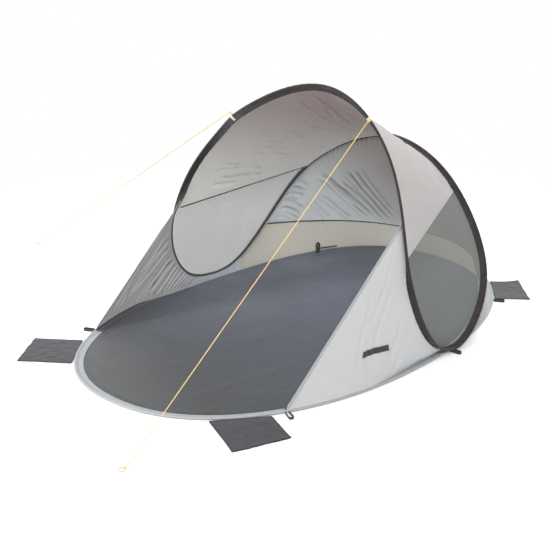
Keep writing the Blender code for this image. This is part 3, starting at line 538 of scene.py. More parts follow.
def netMaterial(name, look):
    made, tree, shader = newMaterial(name)
    drift = noise(tree, Scale=7.0, Detail=3.0)
    tint = mapRange(tree, drift, 0.2, 0.8, 0.0, 0.6)
    colour = mixColours(tree, tint, srgb(*look["colour"]), srgb(*look["driftColour"]))
    rough = mapRange(tree, drift, 0.3, 0.7, 0.75, 0.9)
    setInputs(shader, Specular_IOR_Level=0.2)
    edge = math.cos(math.pi * look["thread"])
    yarns = []
    for wave in weaveWaves(tree, look["pitch"], look["pitch"], look["turn"]):
        yarns.append(mapRange(tree, wave, edge - 0.4, edge + 0.4, 0.0, 1.0, "SMOOTHSTEP"))
    cover = math2(tree, "MAXIMUM", *yarns)
    cloudy = mapRange(tree, cover, 0.0, 1.0, look["hole"], look["yarn"])
    normal = bump(tree, cover, 0.5, 0.0003)
    feed(tree, shader, Base_Color=colour, Roughness=rough, Alpha=cloudy, Normal=normal)
    return made


def ropeMaterial(name, look):
    made, tree, shader = newMaterial(name)
    uv = node(tree, "ShaderNodeUVMap", {"uv_map": "weave"})
    split = node(tree, "ShaderNodeSeparateXYZ")
    tree.links.new(uv.outputs["UV"], split.inputs["Vector"])
    turn = math2(tree, "MULTIPLY", split.outputs["Y"], 2 * look["strands"] / look["diameter"])
    run = math2(tree, "MULTIPLY", split.outputs["X"], 2 * math.pi / look["lay"])
    leans = [math2(tree, "SINE", math2(tree, kind, turn, run), 0.0) for kind in ("ADD", "SUBTRACT")]
    braid = math2(tree, "MULTIPLY", *leans)
    fleck = mapRange(tree, leans[0], 0.1, 0.7, 0.0, 1.0)
    colour = mixColours(tree, fleck, srgb(*look["colour"]), srgb(*look["fleckColour"]))
    wear = noise(tree, Scale=90.0, Detail=3.0)
    dull = mapRange(tree, wear, 0.45, 0.75, 0.0, 0.35)
    colour = mixColours(tree, dull, colour, srgb(*look["dullColour"]))
    rough, normal = mapRange(tree, wear, 0.3, 0.7, 0.5, 0.7), bump(tree, braid, 0.5, 0.0003)
    setInputs(shader, Sheen_Weight=0.2)
    feed(tree, shader, Base_Color=colour, Roughness=rough, Normal=normal)
    return made


def steelMaterial(name, colour, rough, scratch):
    made, tree, shader = newMaterial(name)
    setInputs(shader, Metallic=1.0)
    streak = noise(tree, Scale=scratch, Detail=5.0)
    worn = mapRange(tree, streak, 0.35, 0.65, 0.0, 1.0)
    dark = tuple(channel * 0.8 for channel in colour)
    tone = mixColours(tree, worn, srgb(*colour), srgb(*dark))
    rough = mapRange(tree, streak, 0.3, 0.7, rough - 0.08, rough + 0.1)
    feed(tree, shader, Base_Color=tone, Roughness=rough, Normal=bump(tree, streak, 0.15, 0.0005))
    return made


# how sharply the cloth bends where the painted shade of a fold's valley and the painted highlight of its
# ridge begin, and their two tones
paintedFoldTones = {"valley": (0.45, 0.498), "ridge": (0.503, 0.54), "dark": (70, 72, 74), "light": (236, 238, 240)}
finishes = {
    "sleeve": {"colour": (46, 38, 38), "driftColour": (33, 27, 28), "drift": 0.7, "driftScale": 30.0,
               "pitch": 0.0016, "rough": 0.70, "creaseBump": 0.9, "creaseScale": 60.0},
    "hem": {"colour": (165, 169, 171), "driftColour": (152, 157, 160), "pitch": 0.0014, "rough": 0.72,
            "creaseScale": 45.0, "creaseBump": 0.5},
    "hemBand": {"colour": (160, 164, 166), "driftColour": (142, 146, 148), "pitch": 0.0014, "rough": 0.75,
                "creaseScale": 45.0, "creaseBump": 0.5},
    "wingOutside": {"colour": (240, 241, 241), "driftColour": (233, 234, 235), "pitch": 0.0014,
                    "rough": 0.68, "through": 0.5, "creaseScale": 14.0, "creaseBump": 0.75},
    # wing inside: painted fold shade and painted ridge highlights, and painted shade, mauve grey towards the
    # front and top, paler and bluer towards the back and the floor
    "wingInside": {"foldShade": 0.8, "colour": (184, 180, 179), "farColour": (216, 222, 230),
                   "toward": (0.0, 0.8, -0.6), "between": (-0.30, 0.02), "driftColour": (178, 176, 176),
                   "drift": 0.3, "pitch": 0.0014, "rough": 0.68, "through": 0.42, "creaseScale": 14.0,
                   "creaseBump": 0.7},
    # gusset inside: painted fold shade and painted ridge highlights
    "gussetInside": {"foldShade": 0.45, "colour": (226, 232, 240), "driftColour": (206, 210, 216),
                     "pitch": 0.0014, "rough": 0.68, "through": 0.45, "creaseScale": 30.0, "creaseBump": 0.9},
    "roofOutside": {"colour": (236, 235, 234), "driftColour": (228, 228, 228), "pitch": 0.0014,
                    "rough": 0.68, "through": 0.5, "creaseScale": 14.0, "creaseBump": 0.75},
    # roof inside: painted fold shade and painted ridge highlights, and a painted mauve shade towards the
    # right and the top
    "roofInside": {"foldShade": 0.34, "colour": (238, 241, 236), "farColour": (144, 129, 126),
                   "toward": (0.75, 0.1, 0.65), "between": (-0.40, 0.80),
                   "driftColour": (196, 193, 190), "drift": 0.12, "pitch": 0.0014,
                   "rough": 0.66, "through": 0.5, "creaseScale": 17.0, "creaseBump": 1.0},
    # back wall inside: painted fold shade and painted ridge highlights, and a painted mauve shade towards its
    # right end
    "backInside": {"foldShade": 0.65, "colour": (226, 230, 232), "farColour": (152, 141, 137),
                   "toward": (1.0, 0.0, 0.5), "between": (-0.40, 0.28),
                   "driftColour": (196, 198, 199), "drift": 0.2, "pitch": 0.0014,
                   "rough": 0.66, "through": 0.5, "creaseScale": 17.0, "creaseBump": 1.0},
    # strip inside: painted fold shade and painted ridge highlights
    "stripInside": {"foldShade": 0.45, "colour": (222, 218, 206), "driftColour": (214, 211, 203),
                    "pitch": 0.0014, "rough": 0.68, "through": 0.5, "creaseScale": 17.0, "creaseBump": 0.9},
    # floor: the groundsheet's dark grey, with a painted reflection of the pale back wall that makes it
    # lighter and bluer towards the back
    "floor": {"colour": (43, 46, 47), "farColour": (112, 120, 141), "toward": (0.0, 1.0, 0.0),
              "between": (-0.9, 0.6), "driftColour": (72, 76, 81), "drift": 0.2, "pitch": 0.0018,
              "rough": 0.48, "shine": 0.5, "creaseBump": 0.6, "creaseScale": 9.0},
    "pocket": {"colour": (60, 61, 66), "driftColour": (50, 51, 55), "fleckColour": (38, 39, 42),
               "fleck": 0.3, "pitch": 0.0020, "rough": 0.7, "creaseBump": 0.7, "creaseScale": 30.0},
    "binding": {"colour": (48, 48, 51), "driftColour": (38, 38, 41), "pitch": 0.0012, "rough": 0.75},
    "tape": {"colour": (92, 91, 88), "driftColour": (78, 77, 75), "pitch": 0.0012, "rough": 0.78},
    "webbing": {"colour": (52, 54, 54), "driftColour": (40, 42, 42), "fleckColour": (78, 80, 80),
                "fleck": 0.35, "pitch": 0.0022, "stretch": 0.6, "rough": 0.75, "weaveBump": 0.5},
    "tab": {"colour": (228, 220, 200), "driftColour": (214, 203, 178), "fleckColour": (200, 186, 150),
            "fleck": 0.3, "pitch": 0.0022, "stretch": 0.6, "rough": 0.78, "weaveBump": 0.5},
    "patch": {"colour": (52, 52, 54), "driftColour": (42, 42, 44), "pitch": 0.0012, "rough": 0.65},
    "lightThread": {"colour": (232, 233, 233), "driftColour": (214, 215, 216), "pitch": 0.0008, "rough": 0.6},
    "darkThread": {"colour": (56, 50, 50), "driftColour": (44, 40, 40), "pitch": 0.0008, "rough": 0.6},
}
netLook = {"colour": (126, 129, 127), "driftColour": (122, 124, 122), "pitch": 0.0017,
           "thread": 0.42, "turn": 0.5, "hole": 0.34, "yarn": 0.90}
ropeLook = {"colour": (240, 214, 140), "fleckColour": (214, 166, 62), "dullColour": (196, 172, 122),
            "strands": 4, "lay": 0.010, "diameter": 0.003}

cloth = {name: clothMaterial(name, look) for name, look in finishes.items()}
sideNet = netMaterial("sideNet", netLook)
ropeYarn = ropeMaterial("ropeYarn", ropeLook)
wireSteel = steelMaterial("wireSteel", (150, 150, 156), 0.34, 260.0)
crimpSteel = steelMaterial("crimpSteel", (172, 172, 178), 0.42, 180.0)
print("materials made:", len(finishes) + 4)

stitch = {"length": 0.0030, "pitch": 0.0042, "width": 0.0008}

# guy lines: rope, knot and tied eye
guy = {
    "diameter": 0.003, "knotRadius": 0.005, "eyeRadius": 0.011, "gap": 0.0003,
    "rightEnd": (0.375, -1.222), "leftEnd": (-1.533, -0.167),
    "sides": 14, "step": 0.0016, "relief": 0.09, "pathPoints": 40,
    "knotScale": 0.00115, "tailStep": 0.0008,
    "seizing": 0.0008, "seizingTurns": 4, "seizingPoints": 100, "seizingStep": 0.0007,
}


def tubeFrames(path, closed=False):
    # frames along a path that turn as little as they can
    if closed:
        along = unit(np.roll(path, -1, 0) - np.roll(path, 1, 0))
    else:
        along = unit(np.gradient(path, axis=0))
    first = np.cross(along[0], up)
    if np.linalg.norm(first) < 0.2:
        first = np.cross(along[0], np.array([1.0, 0.0, 0.0]))
    across = [unit(first)]
    for way in along[1:]:
        last = across[-1]
        across.append(squareTo(last, way))
    across = np.array(across)
    if closed:
        # spread the leftover twist over the whole ring
        end = squareTo(across[-1], along[0])
        angle = math.atan2(np.cross(end, across[0]).dot(along[0]), end.dot(across[0]))
        turn = np.linspace(0, angle, len(path), endpoint=False)[:, None]
        across = across * np.cos(turn) + np.cross(along, across) * np.sin(turn)
    return across, np.cross(along, across)


def ropePart(path, radius, sides, closed=False, relief=guy["relief"]):
    across, through = tubeFrames(path, closed)
    turn = 2 * np.pi * np.arange(sides) / sides
    about = ropeLook["strands"] * turn / 2
    forward = 2 * np.pi * runOf(path)[:, None] / ropeLook["lay"]
    braid = np.maximum(np.cos(about + forward) ** 2, np.cos(about - forward) ** 2)
    wide = radius * (1 - relief + relief * braid)
    profile = np.stack([wide * np.cos(turn), wide * np.sin(turn)], 2)
    return sweepPart(path, across, through, profile, closed)


def evenly(path, step):
    run = runOf(path)
    return sampled(np.linspace(0, run[-1], max(4, int(round(run[-1] / step)))), run, path)


def makeKnot(name, centre, way):
    # an overhand knot drawn tight, with its short tail
    turn = np.linspace(0, 2 * np.pi, 90, endpoint=False)
    shape = np.stack([np.sin(turn) + 2 * np.sin(2 * turn), np.cos(turn) - 2 * np.cos(2 * turn),
                      -1.3 * np.sin(3 * turn)], 1)
    path = centre + shape * guy["knotScale"]
    parts = ropePart(path, guy["diameter"] * 0.46, 10, closed=True)
    side = unit(np.cross(way, up))
    tail = np.array([centre + side * 0.002, centre + side * 0.0045 - up * 0.0015,
                     centre + side * 0.006 - up * 0.006, centre + side * 0.0062 - up * 0.011])
    parts += ropePart(evenly(tail, guy["tailStep"]), guy["diameter"] * 0.42, 10)
    return makePiece(name, parts, [ropeYarn])


def makeEye(name, centre, level):
    radius = guy["diameter"] / 2
    turn = np.linspace(0, 2 * np.pi, 64, endpoint=False)
    ring = centre + np.stack([np.cos(turn), np.sin(turn), 0 * turn], 1) * guy["eyeRadius"]
    parts = ropePart(ring, radius, 12, closed=True)
    # the end is seized back on itself where the eye closes
    neck = centre - level * (guy["eyeRadius"] - 0.0005)
    around = np.linspace(0, 2 * np.pi * guy["seizingTurns"], guy["seizingPoints"])
    side = np.cross(level, up)
    coil = neck + level[None] * np.linspace(-0.0045, 0.0035, guy["seizingPoints"])[:, None]
    coil = coil + (side[None] * np.cos(around)[:, None] + up[None] * np.sin(around)[:, None]) * radius * 1.1
    coil[:, 2] = np.maximum(coil[:, 2] + 0.0006, 0.0009)
    parts += ropePart(evenly(coil, guy["seizingStep"]), guy["seizing"], 8)
    return makePiece(name, parts, [ropeYarn])


def makeGuyLines():
    for name in sideNames.values():
        endXy = guy[name + "End"]
        low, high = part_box("guy_knot_" + name)
        knot = np.array((low + high) / 2)
        radius = guy["diameter"] / 2
        eye = np.array([endXy[0], endXy[1], radius])
        way = unit(eye - knot)
        level = unit(np.array([way[0], way[1], 0.0]))
        foot = eye - level * (guy["eyeRadius"] + radius * (1 - way[2]) + guy["gap"])
        way = unit(foot - knot)
        start = knot + way * (guy["knotRadius"] + guy["gap"])
        path = start + (foot - start) * np.linspace(0, 1, guy["pathPoints"])[:, None]
        parts = ropePart(evenly(path, guy["step"]), radius, guy["sides"])
        rope = makePiece("rope_" + name, parts, [ropeYarn])
        knotPiece = makeKnot("knot_" + name, knot, way)
        eyePiece = makeEye("eye_" + name, eye, level)
        for piece, kind in ((rope, "guy_rope_"), (knotPiece, "guy_knot_"), (eyePiece, "guy_eye_")):
            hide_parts(kind + name)


makeGuyLines()
for nodeName in ("hoop_wire", "base_wire", "hoop_crimp", "base_crimp"):
    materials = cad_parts[nodeName].data.materials
    materials.clear()
    materials.append(wireSteel if "wire" in nodeName else crimpSteel)

# waves and creases that the cloth pieces share


def wander(at, length, seed, octaves=3):
    # a smooth random line, about -1 to 1
    chance = np.random.default_rng(seed)
    total = np.zeros_like(at, dtype=float)
    for k in range(octaves):
        for _ in range(3):
            rate = chance.uniform(0.7, 1.3) * 2**k / length
            total += math.sin(0.7) * np.sin(2 * np.pi * (at * rate + chance.random())) / 2**k
    return total / 2.2


def crumple(points, length, seed, count=14):
    # soft random waves in space, about -1 to 1
    chance = np.random.default_rng(seed)
    total = np.zeros(points.shape[:-1])
    for _ in range(count):
        way = unit(chance.normal(size=3))
        rate = chance.uniform(0.6, 1.6) / length
        total += np.sin(2 * np.pi * (points @ way * rate + chance.random()))
    return total / math.sqrt(count)


def crumpled(points, looks, shift=0):
    # looks: each with its height, length and seed, and how much closer it lies along x, y and z
    return sum(height * crumple(points * np.array(closer), length, seed + shift)
               for height, length, seed, closer in looks)


def creases(grid, lines, width, depth):
    # each line: start and end as shares of the grid, then its strength and how it bows
    rows, columns = grid.shape[:2]
    u = np.linspace(0, 1, rows)[:, None]
    v = np.linspace(0, 1, columns)[None]
    tall = np.linalg.norm(np.gradient(grid, axis=0), axis=2) * (rows - 1)
    wide = np.linalg.norm(np.gradient(grid, axis=1), axis=2) * (columns - 1)
    total = np.zeros((rows, columns))
    for (startU, startV), (endU, endV), strength, bow in lines:
        t = (v - startV) / (endV - startV)
        inside = np.clip(t, 0.0, 1.0)
        length = abs(endV - startV) * wide
        slant = (endU - startU) * tall / ((endV - startV) * wide)
        off = (u - startU - (endU - startU) * inside) * tall / np.sqrt(1 + slant**2)
        off = off - bow * length * np.sin(np.pi * inside)
        distance = np.hypot(off, (t - inside) * length) / width
        ridge = (1 - distance**2) * np.exp(-(distance**2))
        total += depth * strength * ridge * smooth(inside, 0.0, 0.18) * smooth(1 - inside, 0.0, 0.15)
    return total


def edgeFade(grid, reach, sides="nsew", narrow=0.0):
    # 0 at the chosen seams and where the panel is narrow, 1 from the reach inwards
    down, over = gridLengths(grid)
    fade = np.ones(grid.shape[:2])
    if "n" in sides:
        fade *= smooth(down, 0.0, reach)
    if "s" in sides:
        fade *= smooth(down[-1:] - down, 0.0, reach)
    if "w" in sides:
        fade *= smooth(over, 0.0, reach)
    if "e" in sides:
        fade *= smooth(over[:, -1:] - over, 0.0, reach)
    if narrow:
        fade = fade * smooth(over[:, -1:], 0.0, narrow)
    return fade


def puckers(distance, along, depth, pitch, reach, seed):
    wave = np.sin(2 * np.pi * along / pitch + 1.6 * wander(along, 5 * pitch, seed))
    swell = 0.55 + 0.45 * wander(along, 9 * pitch, seed + 1)
    return depth * wave * swell * np.exp(-distance / reach)


def seamPuckers(grid, looks, shift=0):
    # looks: depth, pitch, reach and seed at the first seam, at the last one and at the first row
    down, over = gridLengths(grid)
    places = {"first": (over, down), "last": (over[:, -1:] - over, down), "side": (down, over)}
    return sum(puckers(*places[seam], depth, pitch, reach, seed + shift)
               for seam, (depth, pitch, reach, seed) in looks.items())


def raised(grid, field):
    return grid + gridNormals(grid) * field[..., None]


def ruledGrid(first, second, columns):
    share = np.linspace(0, 1, columns)[None, :, None]
    return first[:, None] + (second - first)[:, None] * share


# hoop sleeve: the wire's channel, a flat flange and a bound seam at its inner edge
sleeve = {
    "stations": 1150, "stitchRows": (0.0096, 0.0170), "tuck": 0.0190,
    "pucker": 0.0010, "puckerPitch": 0.0105, "wall": 0.0009, "cutWidth": 0.055,
    "flangeStart": 0.006, "flangeWidth": 0.016, "edgeFrom": 0.013, "edgeWaver": 0.0006, "puff": 0.06,
}
sleeveShape = [(0.0023, 0.0040), (0.0055, 0.0025), (0.0080, 0.0014), (0.0096, 0.0010), (0.0114, 0.0014),
               (0.0135, 0.0015), (0.0155, 0.0012), (0.0170, 0.0009), (0.0184, 0.0014), (0.0198, 0.0021),
               (0.0214, 0.0021), (0.0226, 0.0010)]
sleeveLining = [(0.0214, 0.0003), (0.0150, 0.0003), (0.0096, 0.0003), (0.0065, 0.0012)]


def foldedStrip(nose, upper, lining, core):
    # half the outline from the nose to the seam and back inside, mirrored for the other ply
    half = nose + upper + lining + core
    return np.array(half + [(a, -b) for a, b in half[::-1]])


def arc(radius, first, last, count):
    turn = np.radians(np.linspace(first, last, count))
    return [(radius * math.cos(a), radius * math.sin(a)) for a in turn]


def sleeveProfile(run, seed):
    radius = tent["sleeveRadius"]
    bore = radius - sleeve["wall"]
    flat = foldedStrip(arc(radius, 178, 60, 8), sleeveShape, sleeveLining, arc(bore, 45, 178, 6))
    profile = repeated(flat, len(run))
    reach = np.clip((flat[:, 0] - sleeve["flangeStart"]) / sleeve["flangeWidth"], 0, 1)
    swing = np.sin(np.pi * reach)
    wave = np.sin(2 * np.pi * run / sleeve["puckerPitch"] + 2.2 * wander(run, 0.09, seed))
    swell = 0.6 + 0.5 * wander(run, 0.16, seed + 1)
    second = np.sin(2 * np.pi * run / (sleeve["puckerPitch"] * 0.61) + 2.0 * wander(run, 0.05, seed + 2))
    profile[..., 1] += sleeve["pucker"] * swing[None] * (wave * swell + 0.35 * second)[:, None]
    puff = 1 + sleeve["puff"] * wander(run, 0.03, seed + 3)[:, None]
    bulge = (flat[:, 0] < sleeve["flangeStart"])[None]
    profile = np.where(bulge[..., None], profile * puff[..., None], profile)
    waver = sleeve["edgeWaver"] * wander(run, 0.05, seed + 4)[:, None]
    profile[..., 0] += waver * (flat[:, 0] > sleeve["edgeFrom"])[None]
    return profile


def makeSleeve(name, nodeName, start, end, seed):
    count = int(sleeve["stations"] * (end - start))
    shares = np.linspace(start, end, count)
    centre, inward, through, _ = hoopFrames(shares)
    run = runOf(centre)
    profile = sleeveProfile(run, seed)
    piece = makePiece(name, sweepPart(centre, inward, through, profile), [cloth["sleeve"]])
    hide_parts(nodeName)
    rows = []
    for reach in sleeve["stitchRows"]:
        for sign in (1, -1):
            near = int(np.argmin(np.abs(profile[0, :, 0] - reach) - sign * profile[0, :, 1]))
            line = centre + inward * profile[:, near, :1] + through * profile[:, near, 1:]
            rows.append(stitchPart(line, through * sign, stitch))
    thread = makePiece(name + "_stitches", rows, [cloth["darkThread"]], sharp=80)


rightStop, leftStop = stops["right"][3], -stops["left"][3]
makeSleeve("sleeve_front", "front_sleeve", leftStop, rightStop, 11)
makeSleeve("sleeve_back", "back_sleeve", rightStop, 1.0 + leftStop, 12)
print("sleeves made")

# hem: the floor wire's channel outside, a flat band inside it
panel = {"thickness": 0.0008, "footReach": 0.0318, "footLevel": 0.0026}
hem = {"stations": 1300, "stitchRows": (0.0145, 0.0295), "cut": (5.15, 0.077), "drawIn": (0.45, 0.85),
       "channelEdge": 0.0105, "bandStart": 0.010, "bandWidth": 0.022, "bandCloth": 0.0145,
       "wave": 0.0004, "wavePitch": 0.013, "channelWave": 0.0003, "stitchLift": 0.0002}


def wingReach(shares):
    # a wing's foot runs over the wire's channel in front and draws in to the hem's seam by the leg
    return mix(tent["sleeveRadius"], panel["footReach"], smooth(shares, *hem["drawIn"]))


def hemProfile(run):
    radius = tent["sleeveRadius"]
    bore = radius - sleeve["wall"]
    middle = np.array([radius, radius])
    outside = [tuple(middle + p) for p in arc(radius, 180, 35, 9)]
    upper = [(0.0115, 0.0050), (0.0130, 0.0034), (0.0145, 0.0026), (0.0165, 0.0031), (0.0210, 0.0031),
             (0.0250, 0.0029), (0.0280, 0.0028), (0.0295, 0.0024), (0.0310, 0.0027), (0.0322, 0.0022)]
    lining = [(0.0310, 0.0014), (0.0230, 0.0014), (0.0145, 0.0014), (0.0115, 0.0030)]
    core = [tuple(middle + p) for p in arc(bore, 30, 330, 12)]
    under = [(0.0115, 0.0012), (0.0230, 0.0010), (0.0315, 0.0010), (0.0322, 0.0006), (0.0310, 0.0),
             (0.0230, 0.0), (0.0120, 0.0), (0.0060, 0.0), (0.0026, 0.0006)]
    flat = np.array(outside + upper + lining + core + under)
    profile = repeated(flat, len(run))
    top = np.zeros(len(flat), bool)
    top[:len(outside) + len(upper) + len(lining)] = True
    ripple = np.sin(2 * np.pi * run / hem["wavePitch"] + 2.4 * wander(run, 0.11, 21))
    ripple *= 0.6 + 0.4 * wander(run, 0.2, 22)
    band = np.sin(np.pi * np.clip((flat[:, 0] - hem["bandStart"]) / hem["bandWidth"], 0, 1))
    profile[..., 1] += np.where(top[None], hem["wave"] * ripple[:, None] * band[None], 0.0)
    bulge = (flat[:, 0] < hem["channelEdge"])[None] & top
    profile[..., 1] += np.where(bulge, hem["channelWave"] * wander(run, 0.04, 23)[:, None], 0.0)
    return profile


def makeHem():
    edge, inward, run = floorRing(hem["stations"])
    profile = hemProfile(run)
    parts = sweepPart(edge, inward, up, profile, wrap=True)
    # outside bulge in the lighter grey, flat band in a slightly darker grey
    columns = profile.shape[1]
    column = np.tile(np.arange(columns), hem["stations"])[: len(parts[0]["faces"])]
    middle = profile[0, :, 0]
    slots = (middle[column] > hem["bandCloth"]).astype(int)
    # inside the wings the dark cloth of the floor comes up over the hem
    station = np.arange(len(column)) // columns
    footY = hoopSeam(1, np.array([19.0]), tent["sleeveWidth"])[0, 1]
    wingY = (edge[:, 1] > stops["pegCorner"] * tent["halfLength"]) & (edge[:, 1] < footY)
    shares = np.linspace(0.0, 1.0, 80)
    feet = floorSeam(1, 10 + 10 * shares, tent["sleeveRadius"], 0.0)[:, 1]
    order = np.argsort(feet)
    reach = np.interp(edge[:, 1], feet[order], wingReach(shares)[order])
    slots[wingY[station] & (middle[column] > reach[station])] = 2
    parts[0]["slot"] = slots
    piece = makePiece("hem_cloth", parts, [cloth["hem"], cloth["hemBand"], cloth["floor"]])
    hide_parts("base_hem")
    rows = []
    for reach in hem["stitchRows"]:
        near = int(np.argmin(np.abs(profile[0, :, 0] - reach) - profile[0, :, 1]))
        line = edge + inward * profile[:, near, :1] + up * (profile[:, near, 1:] + hem["stitchLift"])
        rows.append(stitchPart(line, up, stitch, closed=True))
    thread = makePiece("hem_stitches", rows, [cloth["lightThread"]], sharp=80)


makeHem()
print("hem made")

# groundsheet: one dark sheet laid flat inside the hem
groundsheet = {"rings": 110, "stations": 420, "thickness": 0.0008, "level": 0.0010, "reach": 0.0310,
               "cut": (1.90, 1.13), "middle": (-0.02, -0.02, 0.0),
               "crumples": [(0.0007, 0.16, 31, (1.0, 1.0, 0.0)), (0.0004, 0.06, 32, (1.8, 0.6, 0.0))],
               "ringCrease": 0.0016, "ringPlace": 0.020, "ringWidth": 0.006, "creaseWidth": 0.009,
               "creaseSway": 0.006, "swayRate": 14, "radial": (0.0011, 0.036, 0.05, 34),
               "wallLift": 0.0006, "lowest": 0.0004, "underside": (0.0002, 0.0006)}
# middle, way in degrees, length and depth of each crease
groundsheetCreases = [
    # across the back half
    (-0.32, 0.67, -17, 0.26, 0.0022), (-0.34, 0.62, -4, 0.19, 0.0018), (-0.38, 0.44, 2, 0.14, 0.0018),
    (-0.37, 0.39, 0, 0.11, 0.0016), (-0.36, 0.33, 3, 0.12, 0.0014), (-0.22, 0.37, 7, 0.14, 0.0016),
    (-0.33, 0.57, -21, 0.16, 0.0018), (-0.25, 0.42, 6, 0.15, 0.0016), (-0.25, 0.60, -6, 0.17, 0.0016),
    (-0.28, 0.51, -9, 0.22, 0.0020), (-0.20, 0.28, 5, 0.18, 0.0014), (-0.32, 0.72, 12, 0.16, 0.0014),
    (-0.12, 0.48, -12, 0.20, 0.0014), (-0.30, 0.22, 8, 0.16, 0.0012), (-0.10, 0.33, 14, 0.18, 0.0012),
    # beside the left foot
    (-0.47, -0.04, 2, 0.22, 0.0018), (-0.48, 0.01, 2, 0.20, 0.0018), (-0.48, 0.06, 1, 0.17, 0.0016),
    (-0.48, 0.11, -5, 0.14, 0.0014), (-0.46, -0.10, 4, 0.20, 0.0014),
]


def makeGroundsheet():
    edge, inward, run = floorRing(groundsheet["stations"])
    border = edge + inward * groundsheet["reach"]
    middle = np.array(groundsheet["middle"])
    share = np.linspace(1.0, 0.0, groundsheet["rings"]) ** 0.85
    grid = middle + (border - middle)[None] * share[:, None, None]
    inset = np.linalg.norm(grid - border[None], axis=2)
    x, y = grid[..., 0], grid[..., 1]
    rise = crumpled(grid, groundsheet["crumples"])
    # the sheet lifts a little where it meets the wall, then a ring crease follows the hem
    ringCrease = np.exp(-((inset - groundsheet["ringPlace"]) / groundsheet["ringWidth"]) ** 2)
    rise += groundsheet["ringCrease"] * ringCrease * (0.6 + 0.4 * wander(run, 0.5, 33))[None]
    for k, (cx, cy, angle, length, depth) in enumerate(groundsheetCreases):
        way = np.array([math.cos(math.radians(angle)), math.sin(math.radians(angle))])
        along = (x - cx) * way[0] + (y - cy) * way[1]
        off = -(x - cx) * way[1] + (y - cy) * way[0]
        off += groundsheet["creaseSway"] * np.sin(along * groundsheet["swayRate"] + k)
        body = smooth(along, -length / 2, -length / 4) * smooth(-along, -length / 2, -length / 4)
        off = (off / groundsheet["creaseWidth"]) ** 2
        rise += depth * body * (1 - off) * np.exp(-off)
    radial = puckers(inset, run[None] + 0 * inset, *groundsheet["radial"])
    rise += radial * smooth(inset, 0.006, 0.02)
    rise *= smooth(inset, 0.0, 0.012)
    grid[..., 2] = groundsheet["level"] + np.maximum(rise, -groundsheet["lowest"])
    grid[..., 2] += groundsheet["wallLift"] * smooth(inset, 0.0, 0.02)
    rows, columns = grid.shape[:2]
    faces = gridFaces(rows, columns, False, True)
    top = grid.reshape(-1, 3)
    bottom = top - up * groundsheet["thickness"]
    bottom[:, 2] = np.clip(bottom[:, 2], *groundsheet["underside"])
    count = len(top)
    a = np.arange(columns)
    rim = np.stack([a, (a + 1) % columns, (a + 1) % columns + count, a + count], 1)
    points = np.concatenate([top, bottom])
    allFaces = np.concatenate([faces, faces[:, ::-1] + count, rim])
    part = {"points": points, "faces": allFaces, "slot": 0, "uv": points[:, :2]}
    piece = makePiece("floor_cloth", [part], [cloth["floor"]])
    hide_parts("groundsheet")
    report("floor_cloth", grid)


makeGroundsheet()
print("groundsheet made")

# cloth panels, ruled from seam to seam as in the frame


def clothPanel(name, nodeName, grid, outside, inside):
    piece = makePiece(name, [shellPart(grid, panel["thickness"])], [cloth[outside], cloth[inside]])
    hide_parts(nodeName)
    report(name, grid)


roof = {"across": 560, "along": 80, "sag": 0.010, "cut": (1.26, 0.76), "area": 0.78,
        "creaseWidth": 0.0125, "creaseDepth": 0.0062, "fade": 0.010,
        "crumples": [(0.0016, 0.14, 41, (1.0, 1.6, 1.0)), (0.0005, 0.05, 45, (1.0, 1.0, 2.2))],
        "puckers": {"first": (0.0014, 0.021, 0.018, 42), "last": (0.0018, 0.018, 0.024, 43),
                    "side": (0.0022, 0.024, 0.035, 44)}}
roofCreases = [
    # low left corner, lying along the side seam
    ((0.073, 0.183), (0.059, 0.394), 1.2, 0.03), ((0.100, 0.220), (0.073, 0.486), 1.2, -0.03),
    ((0.128, 0.266), (0.100, 0.532), 1.1, 0.04), ((0.091, 0.321), (0.064, 0.578), 0.9, 0.02),
    ((0.151, 0.202), (0.132, 0.477), 0.9, -0.04), ((0.128, 0.156), (0.119, 0.349), 0.8, 0.03),
    # short ripples in the middle
    ((0.342, 0.156), (0.393, 0.248), 0.7, 0.0), ((0.324, 0.211), (0.384, 0.303), 0.7, 0.05),
    ((0.242, 0.349), (0.219, 0.560), 0.7, -0.04), ((0.187, 0.477), (0.160, 0.661), 0.8, 0.03),
    ((0.142, 0.587), (0.142, 0.789), 0.7, 0.04), ((0.224, 0.587), (0.215, 0.899), 0.7, -0.03),
    ((0.280, 0.300), (0.265, 0.480), 0.6, 0.04), ((0.205, 0.300), (0.185, 0.450), 0.6, 0.0),
    # long slants towards the right shoulder
    ((0.630, 0.028), (0.580, 0.587), 0.8, 0.03), ((0.584, 0.092), (0.543, 0.532), 0.7, 0.02),
    ((0.516, 0.303), (0.470, 0.661), 0.7, -0.03), ((0.452, 0.239), (0.300, 0.620), 0.6, 0.03),
    ((0.626, 0.174), (0.507, 0.817), 0.6, -0.02),
]


def makeRoof():
    stations = np.linspace(-10.0, 10.0, roof["across"])
    right, tuck = stations[:, None] >= 0, sleeve["tuck"]
    front, back = [np.where(right, hoopSeam(1, k, tuck), hoopSeam(-1, k, tuck))
                   for k in (np.abs(stations), 38 - np.abs(stations))]
    grid = ruledGrid(front, back, roof["along"])
    v = np.linspace(0, 1, roof["along"])[None]
    sag = roof["sag"] * np.sin(np.pi * v) * np.cos(np.pi * stations[:, None] / 20)
    grid = grid - up * sag[..., None]
    field = creases(grid, roofCreases, roof["creaseWidth"], roof["creaseDepth"])
    field += crumpled(grid, roof["crumples"]) + seamPuckers(grid, roof["puckers"])
    field *= edgeFade(grid, roof["fade"])
    clothPanel("roof_cloth_panel", "roof_panel", raised(grid, field), "roofOutside", "roofInside")
    return grid


roofGrid = makeRoof()

